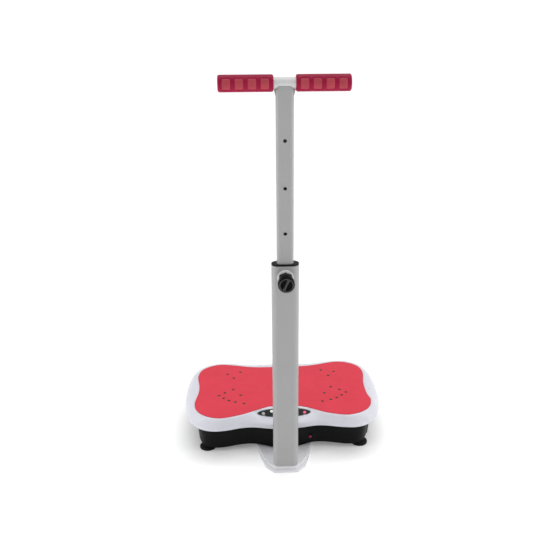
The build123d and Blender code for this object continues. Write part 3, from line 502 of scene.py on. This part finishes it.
# ---------------------------------------------------------------- deck
WIDEST_Z = 90 * MM
LIP_Z = COVER_LOW.z
RIM_Z = COVER_HIGH.z
MAT_FLOOR, MAT_TOP = (corner.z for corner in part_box("deck_mat"))
SHOULDER_POWER = 2 / 1.53    # how full the border's curve is, from the widest line to the rim
SHOULDER_RINGS = 16
WALL = 3 * MM
RIM_WIDTH = 2.5 * MM
MAT_GAP = 0.4 * MM
LOW_TURN = 0.35              # radians up the border, from where it is levelled at the window
SHARP_COVER = 50

WIDEST = smooth_ring("deck_cover", WIDEST_Z)
MAT_EDGE = smooth_ring("deck_mat", MAT_TOP)


def shoulder_ring(turn, pull, sink):
    """One outline of the border's quarter curve, moved in and lowered for its inside."""
    rim = moved_in(MAT_EDGE, -RIM_WIDTH - MAT_GAP)
    widest = moved_in(WIDEST, 0)
    share = 1 - cos(turn) ** SHOULDER_POWER if turn < pi / 2 else 1.0
    height = WIDEST_Z + (RIM_Z - WIDEST_Z) * sin(turn) ** SHOULDER_POWER
    flat = [w.lerp(r, share) for w, r in zip(widest, rim)]
    if pull:
        flat = moved_in([(atan2(p.y, p.x), p.length) for p in flat], pull)
    return [flattened(p, sink) if turn > LOW_TURN else p for p in as_points(flat, height - sink)]


def cover_rings():
    """From the underside, down inside the skirt, round its lip, and over the border."""
    inside_floor = as_points(moved_in(MAT_EDGE, 4 * MM), MAT_FLOOR - WALL)
    rings = [[flattened(p, 2 * WALL) for p in inside_floor]]
    turns = [pi / 2 * k / SHOULDER_RINGS for k in range(SHOULDER_RINGS + 1)]
    for turn in reversed(turns[:-2]):
        rings.append(shoulder_ring(turn, WALL, WALL * (0.4 + 0.9 * sin(turn))))
    lip = [(7.3, 1.2), (6.9, 0.2), (6.2, 0.0), (5.2, 0.0), (4.6, 0.3), (4.3, 1.1), (2.6, 5.0),
           (0.9, 10.0)]
    for inward, up in lip:
        rings.append(as_points(moved_in(WIDEST, inward * MM), LIP_Z + up * MM))
    rings += [shoulder_ring(turn, 0, 0) for turn in turns]
    edge = [(1.6, 0.0), (0.9, 0.15), (0.45, 0.5), (0.4, 1.2)]
    for outward, down in edge:
        rings.append(as_points(moved_in(MAT_EDGE, -outward * MM), RIM_Z - down * MM))
    rings.append(as_points(moved_in(MAT_EDGE, -MAT_GAP), MAT_FLOOR))
    return rings


def make_cover():
    """Moulded cover, with a seat for the window and a hole under it."""
    bm = bmesh.new()
    skin(bm, cover_rings())
    cover = add_piece("cover_shell", bm, "deck", "cover_white", ("deck_cover",), sharp=SHARP_COVER)
    above = 25 * MM
    for grow, bottom in ((0.3 * MM, -2 * MM), (-2 * MM, -above)):
        tool = bmesh.new()
        skin(tool, [panel_oval(grow, bottom), panel_oval(grow, above)])
        bmesh.ops.recalc_face_normals(tool, faces=tool.faces)
        cut_away(cover, tool)
    cover.data.shade_smooth()
    cover.data.set_sharp_from_angle(angle=radians(SHARP_COVER))


def make_bezel():
    """Raised rounded lip around the panel's window."""
    profile = [(0.35, -1.5), (0.35, 0.7), (0.7, 1.15), (1.3, 1.35), (2.2, 1.2), (3.1, 0.7),
               (3.9, 0.0), (4.2, -0.6)]
    bm = bmesh.new()
    hoop(bm, [panel_oval(grow * MM, height * MM) for grow, height in profile])
    add_piece("window_bezel", bm, "deck", "cover_white", sharp=60)


def make_mat():
    """Rubber mat with a rolled edge."""
    bm = bmesh.new()
    edge = [(0.0, -3.0), (0.0, -0.9), (0.15, -0.4), (0.5, -0.12), (1.1, 0.0)]
    skin(bm, [as_points(moved_in(MAT_EDGE, inward * MM), MAT_TOP + up * MM) for inward, up in edge])
    add_piece("mat_sheet", bm, "deck", "mat_red", ("deck_mat",), sharp=60)


STUD_REACH = 8.5 * MM        # a stud's own points lie within this of each other
STUD_STEPS = 24


def cluster_centres(node, reach):
    """Middle of each separate solid of a node, from points that lie within reach of each other."""
    groups = []
    for vertex in NODES[node].data.vertices:
        for group in groups:
            if (group[0] - vertex.co).length < reach:
                group.append(vertex.co)
                break
        else:
            groups.append([vertex.co.copy()])
    return [sum(group, Vector()) / len(group) for group in groups]


def make_studs():
    """Moulded studs: a dome in a shallow flange."""
    bm = bmesh.new()
    low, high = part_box("mat_studs")
    top = high.z - low.z
    profile = [(3.8, -0.25), (3.8, 0.12), (3.5, 0.3), (3.1, 0.34), (2.85, 0.42), (2.4, 0.66),
               (1.65, 0.84), (0.8, 0.9)]
    for middle in cluster_centres("mat_studs", STUD_REACH):
        rings = []
        for radius, height in profile:
            lift = low.z + min(height * MM, top)
            rings.append([(middle.x + radius * MM * cos(a), middle.y + radius * MM * sin(a), lift)
                          for a in around(STUD_STEPS)])
        skin(bm, rings)
    add_piece("stud_domes", bm, "deck", "stud_green", ("mat_studs",), sharp=70)


# ---------------------------------------------------------------- panel marks
MARK_BASE = LENS_PROUD - 0.1 * MM
MARK_TOP = LENS_PROUD + 0.08 * MM
MARK_LINE, FINE_LINE, SEGMENT_LINE = 0.7 * MM, 0.5 * MM, 0.8 * MM
SYMBOL_REACH = 1.6 * MM
SYMBOL_GAP = 0.5 * MM        # either side of the plus's middle
SYMBOL_INWARD = 1 * MM
BESIDE_KEY = 8.2 * MM
BELOW_POWER, BELOW_MODE = 7.6 * MM, 7.0 * MM


def flat_mark(bm, corners):
    """A printed shape, as a thin solid on the window."""
    skin(bm, [[on_panel(u, v, height) for u, v in corners] for height in (MARK_BASE, MARK_TOP)])


def stroke(bm, start, stop, width=MARK_LINE):
    """A straight printed line with mitred ends."""
    along = (Vector(stop) - Vector(start)).normalized()
    side = Vector((-along.y, along.x)) * width / 2
    tip = along * width / 2
    a, b = Vector(start), Vector(stop)
    flat_mark(bm, [a + side, a - tip, a - side, b - side, b + tip, b + side])


def arc_mark(bm, u, v, radius, first, last, steps):
    """A fine printed arc around a point, between two angles."""
    angles = [first + (last - first) * i / steps for i in range(steps + 1)]
    outer, inner = [[(u + reach * cos(a), v + reach * sin(a)) for a in angles]
                    for reach in (radius + FINE_LINE / 2, radius - FINE_LINE / 2)]
    for i in range(steps):
        flat_mark(bm, [outer[i], outer[i + 1], inner[i + 1], inner[i]])


def key_place(node):
    """Place of a key's middle across and up the panel."""
    low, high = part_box(node)
    middle = (low + high) / 2 - PANEL_MIDDLE
    return middle.x, middle.dot(PANEL_UP)


def make_panel_marks():
    """Generic symbols beside the keys: plus, minus, power and a wave."""
    bm = bmesh.new()
    for node, upright in (("button_speed_up", True), ("button_speed_down", False)):
        u, v = key_place(node)
        u -= BESIDE_KEY if u > 0 else -BESIDE_KEY
        stroke(bm, (u - SYMBOL_REACH, v), (u + SYMBOL_REACH, v))
        if upright:
            stroke(bm, (u, v + SYMBOL_REACH), (u, v + SYMBOL_GAP))
            stroke(bm, (u, v - SYMBOL_GAP), (u, v - SYMBOL_REACH))
    u, v = key_place("button_power")
    u, v = u - SYMBOL_INWARD, v - BELOW_POWER
    arc_mark(bm, u, v, 1.7 * MM, radians(120), radians(420), 28)
    stroke(bm, (u, v + 0.4 * MM), (u, v + 2.3 * MM), FINE_LINE)
    u, v = key_place("button_mode")
    u, v = u + SYMBOL_INWARD, v - BELOW_MODE
    for turn in (-1, 0, 1):
        start = 0 if turn else 180
        arc_mark(bm, u + 2.2 * turn * MM, v, 1.1 * MM, radians(start), radians(start + 180), 12)
    add_piece("panel_marks", bm, "deck", "print_white")


def make_panel_line():
    """Fine printed line inside the window's edge."""
    bm = bmesh.new()
    outer, inner = -1.9 * MM, -2.3 * MM
    hoop(bm, [panel_oval(outer, MARK_BASE), panel_oval(outer, MARK_TOP),
              panel_oval(inner, MARK_TOP), panel_oval(inner, MARK_BASE)])
    add_piece("window_line", bm, "deck", "key_silver")


def make_digits():
    """Two unlit seven-segment digits behind the middle of the window."""
    bm = bmesh.new()
    half_width, half_height = 2.0 * MM, 3.6 * MM
    gap = 0.45 * MM
    beside = 4.2 * MM
    for middle in (-beside, beside):
        for v in (-half_height, 0, half_height):
            stroke(bm, (middle - half_width + gap, v), (middle + half_width - gap, v), SEGMENT_LINE)
        for u in (middle - half_width, middle + half_width):
            for v in (-half_height / 2, half_height / 2):
                reach = half_height / 2 - gap
                stroke(bm, (u, v - reach), (u, v + reach), SEGMENT_LINE)
    add_piece("display_digits", bm, "deck", "display_lit")


# ---------------------------------------------------------------- grips
BAR_LOW, BAR_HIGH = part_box("handle_bar")
BAR_Y = (BAR_LOW.y + BAR_HIGH.y) / 2
BAR_Z = (BAR_LOW.z + BAR_HIGH.z) / 2
GRIP_RADIUS = (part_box("grip_left")[1].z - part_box("grip_left")[0].z) / 2
GRIP_EDGE = 4 * MM
PAD_HALF_WIDTH = 9.2 * MM
PAD_PITCH = 26.2 * MM
PAD_COUNT = 4
PAD_HALF_ARC = radians(43)
PAD_CORNER = 3.5 * MM
RIB_PITCH = 2.6 * MM
RIB_DEPTH = 0.4 * MM
GROOVE = 0.8 * MM
GRIP_STEPS = 112             # points around a sleeve
GRIP_PITCH = 0.8 * MM        # rings along a sleeve are at most this far apart
PAD_COLUMNS, PAD_ROWS = 44, 26
PAD_SQUEEZE = 0.09           # how far a pad's sides are drawn in at its corners
PAD_PROUD = 0.28 * MM
PAD_ROLL = 1.5 * MM


def on_bar(x, reach, angle):
    """Point at a distance from the handle bar's axis."""
    return x, BAR_Y + reach * cos(angle), BAR_Z + reach * sin(angle)


def pad_middle(slot):
    return (slot - (PAD_COUNT - 1) / 2) * PAD_PITCH


def pad_distance(along, angle):
    """How far a point on the grip is outside the nearest pad's rounded outline."""
    nearest = min(range(PAD_COUNT), key=lambda k: abs(along - pad_middle(k)))
    across = abs(along - pad_middle(nearest)) - PAD_HALF_WIDTH + PAD_CORNER
    turned = min(abs(angle % pi), pi - abs(angle % pi))
    round_way = GRIP_RADIUS * (turned - PAD_HALF_ARC) + PAD_CORNER
    return hypot(max(across, 0), max(round_way, 0)) + min(max(across, round_way), 0) - PAD_CORNER


def grip_radius(along, half, angle):
    """Rounded ends, and a groove and seat for each pad."""
    from_end = half - abs(along)
    radius = GRIP_RADIUS
    if from_end < GRIP_EDGE:
        radius -= GRIP_EDGE - sqrt(max(0.0, GRIP_EDGE ** 2 - (GRIP_EDGE - from_end) ** 2))
    outside = pad_distance(along, angle)
    return radius - GROOVE * (1 - smoothstep(outside, -0.2 * MM, 1.0 * MM))


def make_grip(side_node):
    """Moulded sleeve along X, with its end rounded over."""
    low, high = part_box(side_node)
    middle = (low.x + high.x) / 2
    half = (high.x - low.x) / 2
    ends = [0.0, 0.15, 0.5, 1.0, 1.7, 2.6, 4.0]
    straight = 2 * half - 2 * GRIP_EDGE
    parts = ceil(straight / GRIP_PITCH)
    stations = [-half + e * MM for e in ends]
    stations += [-half + GRIP_EDGE + straight * k / parts for k in range(1, parts)]
    stations += [half - e * MM for e in reversed(ends)]
    bm = bmesh.new()
    skin(bm, [[on_bar(middle + along, grip_radius(along, half, angle), angle)
               for angle in around(GRIP_STEPS)] for along in stations])
    name = side_node.replace("grip", "sleeve")
    add_piece(name, bm, "mast", "grip_crimson", (side_node,), sharp=60)


def pad_height(u, v, along):
    """Pads stand a little proud, ribbed around the grip and rolled down at their edges."""
    edge = max(abs(u), abs(v))
    roll = PAD_ROLL * max(0.0, (edge - 0.78) / 0.22) ** 2
    wave = 0.5 + 0.5 * cos(2 * pi * along / RIB_PITCH)
    rib = RIB_DEPTH * wave * (1 - smoothstep(edge, 0.72, 0.9))
    return PAD_PROUD - RIB_DEPTH + rib - roll


def add_pad(bm, middle, facing):
    """One ribbed sheet over its seat, on the side of the grip at the angle facing."""
    rows = []
    for i in range(PAD_COLUMNS + 1):
        row = []
        for j in range(PAD_ROWS + 1):
            u, v = 2 * i / PAD_COLUMNS - 1, 2 * j / PAD_ROWS - 1
            along = PAD_HALF_WIDTH * u * (1 - PAD_SQUEEZE * v ** 6)
            angle = facing + PAD_HALF_ARC * v * (1 - PAD_SQUEEZE * u ** 6)
            reach = GRIP_RADIUS + pad_height(u, v, along)
            row.append(bm.verts.new(on_bar(middle + along, reach, angle)))
        rows.append(row)
    for first, second in zip(rows, rows[1:]):
        for j in range(PAD_ROWS):
            bm.faces.new((first[j], first[j + 1], second[j + 1], second[j]))


def make_pads():
    """All the soft pads of both grips."""
    bm = bmesh.new()
    for node in ("grip_left", "grip_right"):
        low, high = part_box(node)
        for slot in range(PAD_COUNT):
            for facing in (0, pi):
                add_pad(bm, (low.x + high.x) / 2 + pad_middle(slot), facing)
    add_piece("ribbed_pads", bm, "mast", "grip_pad", ("grip_pads",), sharp=80)


# ---------------------------------------------------------------- lock and post details
KNOB_LOW, KNOB_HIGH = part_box("pull_knob")
PIN_Z = (KNOB_LOW.z + KNOB_HIGH.z) / 2
KNOB_RADIUS = (KNOB_HIGH.x - KNOB_LOW.x) / 2
DRAWN_RADIUS = 19 * MM       # the knob's profiles are drawn for this radius
FLUTES = 18
FLUTE_DEPTH = 0.75 * MM
FLUTE_FADE = 1.4 * MM        # the flutes have faded out this far inside the knob's side
KNOB_STEPS, RING_STEPS = 144, 96
CHAMBER_CLEAR = 7.2          # in mm, a radius just outside the spring's chamber


def knob_profile(pairs):
    """(radius, y) pairs, in metres, from pairs in mm that start at the knob's front."""
    scale = KNOB_RADIUS / DRAWN_RADIUS
    return [(r * MM * scale, KNOB_LOW.y + y * MM) for r, y in pairs]


def fluted(radius, angle):
    """The radius, less the finger flutes around the knob's side."""
    side = smoothstep(radius, KNOB_RADIUS - FLUTE_FADE, KNOB_RADIUS)
    return radius - FLUTE_DEPTH * side * (0.5 - 0.5 * cos(FLUTES * angle)) ** 2


def on_pin(reach, angle, y):
    """Point at a distance from the lock pin's axis."""
    return reach * cos(angle), y, PIN_Z + reach * sin(angle)


def make_knob():
    """Pull knob: a fluted rim around a hollow face."""
    profile = [(0.6, 4.1), (11.0, 4.1), (12.6, 3.9), (13.3, 3.2), (13.6, 1.8), (14.2, 1.2),
               (15.8, 1.0), (16.4, 1.3), (16.8, 1.8), (17.7, 2.2), (18.5, 2.9), (19.0, 4.4),
               (19.0, 8.0), (19.0, 12.0), (19.0, 16.0), (18.8, 18.0), (18.0, 20.0), (16.5, 21.4),
               (13.0, 22.0)]
    bm = bmesh.new()
    skin(bm, [[on_pin(fluted(radius, a), a, y) for a in around(KNOB_STEPS)]
              for radius, y in knob_profile(profile)])
    add_piece("knob_body", bm, "lock_pin", "knob_black", ("pull_knob",), sharp=50)


def make_knob_ring():
    """Polished ring set into the knob's face, lighter than the knob as painted highlight where it
    catches the light.
    """
    profile = [(13.5, 1.9), (13.6, 0.9), (14.1, 0.2), (14.8, 0.0), (15.5, 0.2), (16.0, 0.9),
               (16.1, 1.9)]
    bm = bmesh.new()
    hoop(bm, [[on_pin(radius, a, y) for a in around(RING_STEPS)] for radius, y in knob_profile(profile)])
    add_piece("knob_ring", bm, "lock_pin", "painted_highlight_black", sharp=60)


def make_knob_bar():
    """Moulded bar across the knob's face, waisted in its middle, lighter than the knob as painted
    highlight.
    """
    bm = bmesh.new()
    turn = Matrix.Rotation(radians(24), 4, "Y")
    parts, length = 12, 26.4 * MM
    rings = []
    for share in [k / parts for k in range(parts + 1)]:
        along = (share - 0.5) * length
        half = (2.2 + 1.1 * abs(2 * share - 1) ** 2) * MM
        section = ((-half, 4.2), (-half, 2.0), (-half * 0.7, 1.4), (half * 0.7, 1.4), (half, 2.0),
                   (half, 4.2))
        rings.append([turn @ Vector((x, 0, along)) + Vector((0, KNOB_LOW.y + y * MM, PIN_Z))
                      for x, y in section])
    skin(bm, rings)
    add_piece("knob_bar", bm, "lock_pin", "painted_highlight_black", sharp=40)


def make_lock_spring():
    """Coil spring of the lock, from its front end in the housing to its back end at the pin."""
    low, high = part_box("pin_spring")
    inset = 0.5 * MM         # half the wire of the CAD coil
    radius = (high.x - low.x) / 2 - inset
    front, back = low.y + inset, high.y - inset
    wire, turns, steps, sides = 0.26 * MM, 4, 128, 8
    rings = []
    for i in range(steps + 1):
        turn = 2 * pi * turns * i / steps
        outward = Vector((cos(turn), 0, sin(turn)))
        middle = outward * radius + Vector((0, front + (back - front) * i / steps, PIN_Z))
        rings.append([middle + wire * (cos(a) * outward + Vector((0, sin(a), 0)))
                      for a in around(sides)])
    bm = bmesh.new()
    skin(bm, rings)
    coil = add_piece("lock_spring", bm, None, "bright_steel", ("pin_spring",), sharp=80)
    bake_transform(coil)


def shoulder_outline(inset):
    """Square-shouldered arch over the spring's chamber, as (x, z) in mm."""
    half, top = 14.4 - inset, 9.6 - inset
    outline = [(half, 0), (half, top - 2.6), (half - 0.8, top - 0.6), (half - 3, top),
               (3 - half, top), (0.8 - half, top - 0.6), (-half, top - 2.6), (-half, 0)]
    arch = [pi * (1 - k / 16) for k in range(17)]
    return outline + [(CHAMBER_CLEAR * cos(a), CHAMBER_CLEAR * sin(a)) for a in arch]


def ridge_section(lift):
    """Pointed ridge, as (x, height over the collar's crest) in mm."""
    side, shoulder = (lift - 2.6) * 0.6, lift - 0.3
    return [(-4.6, -2.5), (4.6, -2.5), (3.0, side), (1.0, shoulder), (0.0, lift), (-1.0, shoulder),
            (-3.0, side)]


def make_collar_peak():
    """Square shoulders and pointer ridge on the lock's collar."""
    low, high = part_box("pin_collar")
    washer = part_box("pin_washer")[0].y
    back = washer - 0.05 * MM
    crest = high.z - 1.6 * MM
    insets = ((low.y + 1.0 * MM, 1.4), (low.y + 2.2 * MM, 0.0), (back, 0.0))
    lifts = ((low.y + 0.6 * MM, -0.6), (low.y + 1.6 * MM, 1.2), (washer - 6 * MM, 2.0), (back, 2.0))
    bm = bmesh.new()
    skin(bm, [[(x * MM, y, PIN_Z + z * MM) for x, z in shoulder_outline(inset)]
              for y, inset in insets])
    skin(bm, [[(x * MM, y, crest + z * MM) for x, z in ridge_section(lift)] for y, lift in lifts])
    add_piece("collar_peak", bm, "base", "trim_black", sharp=40)


# ---------------------------------------------------------------- welds
CORNER_STEPS = 10
MAST_CORNER = 9 * MM
BAR_BEAD, FOOT_BEAD = 1.1 * MM, 1.7 * MM


def rounded_box_path(half_width, half_depth, corner):
    """Closed outline of a rounded rectangle, as flat vectors."""
    path = []
    for turn, (sx, sy) in enumerate(((1, 1), (-1, 1), (-1, -1), (1, -1))):
        for k in range(CORNER_STEPS + 1):
            angle = pi / 2 * (turn + k / CORNER_STEPS)
            x = sx * (half_width - corner) + corner * cos(angle)
            y = sy * (half_depth - corner) + corner * sin(angle)
            path.append(Vector((x, y)))
    return path


def denser(path, step):
    """More points along a closed path, at most a step apart."""
    result = []
    for i, point in enumerate(path):
        after = path[(i + 1) % len(path)]
        parts = max(1, ceil((after - point).length / step))
        result += [point.lerp(after, k / parts) for k in range(parts)]
    return [p for i, p in enumerate(result) if (p - result[i - 1]).length > 0.0001]


def weld_ripple(radius):
    """Bead thickness that swells and shrinks along the weld."""
    return lambda i: radius * (1 + 0.16 * sin(i * 2.1) + 0.08 * sin(i * 0.7))


def make_bar_weld():
    """Painted-over weld where the mast meets the bar."""
    low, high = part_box("mast_tube")
    half_width, half_depth = (high.x - low.x) / 2, (high.y - low.y) / 2
    radius = (BAR_HIGH.z - BAR_LOW.z) / 2
    path = []
    for p in denser(rounded_box_path(half_width, half_depth, MAST_CORNER), 0.9 * MM):
        height = BAR_Z - sqrt(max(0.0, radius ** 2 - p.y ** 2))
        path.append(Vector((p.x, BAR_Y + p.y, height)))
    bm = bmesh.new()
    bead_along(bm, path, weld_ripple(BAR_BEAD))
    add_piece("bar_weld", bm, "mast", "tube_paint", sharp=80)


def make_foot_weld():
    """Fillet weld around the bottom of the post."""
    low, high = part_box("post_tube")
    half_width, half_depth = (high.x - low.x) / 2, (high.y - low.y) / 2
    middle = (low.y + high.y) / 2
    outline = denser(rounded_box_path(half_width, half_depth, half_depth), 1.2 * MM)
    bm = bmesh.new()
    path = [Vector((p.x, middle + p.y, low.z + 0.5 * MM)) for p in outline]
    bead_along(bm, path, weld_ripple(FOOT_BEAD))
    add_piece("foot_weld", bm, "base", "foot_paint", sharp=80)


# ---------------------------------------------------------------- mains switch
ROCKER_LEAN = 0.7 * MM       # how far each half of the face slopes over a quarter of its height
ROCKER_SINK = 0.72 * MM      # how deep the middle of each half lies
PRINT_BASE, PRINT_TOP = -0.2 * MM, 0.08 * MM
PRINT_STEPS = 24


def rocker_oval(side, width, height, lift):
    """Outline of a mark on the lower (-1) or upper (1) half of the switch, lifted off its slope."""
    low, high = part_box("power_rocker")
    middle = (low + high) / 2
    reach = (high.z - low.z) / 4
    face = high.y - ROCKER_SINK
    ring = []
    for angle in around(PRINT_STEPS):
        across, up = width * cos(angle), height * sin(angle)
        slope = ROCKER_LEAN / reach * up * side
        ring.append((middle.x + across, face + slope + lift, middle.z + side * reach + up))
    return ring


def make_rocker_marks():
    """Bar and ring printed on the two halves of the mains switch."""
    bm = bmesh.new()
    skin(bm, [rocker_oval(-1, 0.5 * MM, 2.0 * MM, lift) for lift in (PRINT_BASE, PRINT_TOP)])
    outer, inner = 1.7 * MM, 1.2 * MM
    hoop(bm, [rocker_oval(1, radius, radius, lift) for radius, lift in
              ((outer, PRINT_BASE), (outer, PRINT_TOP), (inner, PRINT_TOP), (inner, PRINT_BASE))])
    add_piece("rocker_marks", bm, "rocker", "print_white")


# ---------------------------------------------------------------- carried-over CAD nodes
SLOTS = {part["node"]: part["material_slot"] for part in frame["record"]["subparts"]}
# Colours that differ from their slot's, as seen in the picture; the bar is a lighter grey than the
# tubes, to match how bright it looks.
OWN_FINISHES = {"button_speed_down": "key_white", "handle_bar": "bar_lighter_grey"}


def repaint_nodes():
    """Every CAD node that stays gets its procedural material and smooth shading."""
    for name, node in NODES.items():
        mesh = node.data
        mesh.materials.clear()
        mesh.materials.append(MATERIALS[OWN_FINISHES.get(name, SLOTS[name])])
        mesh.shade_smooth()
        mesh.set_sharp_from_angle(angle=radians(28))


# ---------------------------------------------------------------- studio and camera
FLOOR_RADIUS = 90.0          # reaches the top of the picture
SKY_LIGHT = 0.42
HORIZON_LIGHT = 1.0
FLOOR_GLOW = 0.16
BELOW_FEET = 0.0002
SUN_FROM, SUN_SPREAD, SUN_STRENGTH = (0.1, 0.2, 1.0), 60, 1.75
STRIP_REACH, STRIP_Y, STRIP_Z = 1.7, -0.45, 0.75
STRIP_AIM = (0, -0.15, 0.45)
STRIP_SIZE = (0.35, 1.7)
STRIP_ENERGY = 9


def make_floor():
    """Plain pale floor, faintly lit from itself so that it has no far edge."""
    material, tree, shader, place = new_material("studio_floor")
    tone = noise(tree, place, 2.0, 2.0)
    tree.links.new(two_tone(tree, tone, (0.9, 0.9, 0.905), (0.92, 0.92, 0.925)),
                   shader.inputs["Base Color"])
    tree.links.new(spread(tree, tone, 0.7, 0.8), shader.inputs["Roughness"])
    shader.inputs["Emission Color"].default_value = (1.0, 1.0, 1.0, 1)
    shader.inputs["Emission Strength"].default_value = FLOOR_GLOW
    bumped(tree, shader, (noise(tree, place, 300.0), 0.00002))
    bm = bmesh.new()
    bmesh.ops.create_circle(bm, cap_ends=True, segments=96, radius=FLOOR_RADIUS)
    mesh = bpy.data.meshes.new("studio_floor")
    bm.to_mesh(mesh)
    bm.free()
    mesh.materials.append(material)
    floor = bpy.data.objects.new("studio_floor", mesh)
    floor.location = (0, 0, -BELOW_FEET)
    bpy.context.scene.collection.objects.link(floor)


def area_light(name, place, target, size, energy):
    light = bpy.data.lights.new(name, "AREA")
    light.shape = "RECTANGLE"
    light.size, light.size_y = size
    light.energy = energy
    lamp = bpy.data.objects.new(name, light)
    lamp.location = place
    lamp.rotation_euler = (Vector(target) - Vector(place)).to_track_quat("-Z", "Y").to_euler()
    bpy.context.scene.collection.objects.link(lamp)


def sun_light(name, place, spread_angle, strength):
    light = bpy.data.lights.new(name, "SUN")
    light.angle = radians(spread_angle)
    light.energy = strength
    lamp = bpy.data.objects.new(name, light)
    lamp.rotation_euler = (-Vector(place)).to_track_quat("-Z", "Y").to_euler()
    bpy.context.scene.collection.objects.link(lamp)


def make_lights():
    """Soft light from above, a strip on each side, and a sky that is brightest near the horizon."""
    world = bpy.data.worlds.new("studio")
    bpy.context.scene.world = world
    world.use_nodes = True
    tree = world.node_tree
    place = tree.nodes.new("ShaderNodeTexCoord")
    split = tree.nodes.new("ShaderNodeSeparateXYZ")
    tree.links.new(place.outputs["Generated"], split.inputs["Vector"])
    strength = spread(tree, split.outputs["Z"], HORIZON_LIGHT, SKY_LIGHT, 0.04, 0.35)
    tree.links.new(strength, tree.nodes["Background"].inputs["Strength"])
    tree.nodes["Background"].inputs["Color"].default_value = (1.0, 1.0, 1.0, 1)
    sun_light("overhead", SUN_FROM, SUN_SPREAD, SUN_STRENGTH)
    for name, side in (("left_strip", -1), ("right_strip", 1)):
        place = (side * STRIP_REACH, STRIP_Y, STRIP_Z)
        area_light(name, place, STRIP_AIM, STRIP_SIZE, STRIP_ENERGY)


PICTURE = 533                # the frame's width; FOCAL and MIDDLE_SHIFT are in the same unit
FOCAL = 700
SENSOR = 36
YAW, PITCH, ROLL = radians(2.70), radians(22.51), radians(0.21)
CAMERA_PLACE = (-0.072, -1.6235, 1.144)
MIDDLE_SHIFT = (17.5, 7.5)    # how far the optical axis is right of and below the frame's middle


def make_camera():
    """Camera from its heading, downward pitch and roll."""
    ahead = Vector((sin(YAW) * cos(PITCH), cos(YAW) * cos(PITCH), -sin(PITCH)))
    level = Vector((cos(YAW), -sin(YAW), 0))
    down = ahead.cross(level)
    right = cos(ROLL) * level + sin(ROLL) * down
    down = cos(ROLL) * down - sin(ROLL) * level
    lens = bpy.data.cameras.new("camera")
    lens.sensor_width = SENSOR
    lens.lens = SENSOR * FOCAL / PICTURE
    lens.shift_x = -MIDDLE_SHIFT[0] / PICTURE
    lens.shift_y = MIDDLE_SHIFT[1] / PICTURE
    camera = bpy.data.objects.new("camera", lens)
    turn = Matrix((right, -down, -ahead)).transposed().to_4x4()
    camera.matrix_world = Matrix.Translation(CAMERA_PLACE) @ turn
    bpy.context.scene.collection.objects.link(camera)
    bpy.context.scene.camera = camera


repaint_nodes()
make_cover()
make_bezel()
make_mat()
make_studs()
make_panel_marks()
make_panel_line()
make_digits()
make_grip("grip_left")
make_grip("grip_right")
make_pads()
make_knob()
make_knob_ring()
make_knob_bar()
make_lock_spring()
make_collar_peak()
make_bar_weld()
make_foot_weld()
make_rocker_marks()
make_floor()
make_lights()
make_camera()
bpy.context.scene.view_settings.view_transform = "Standard"
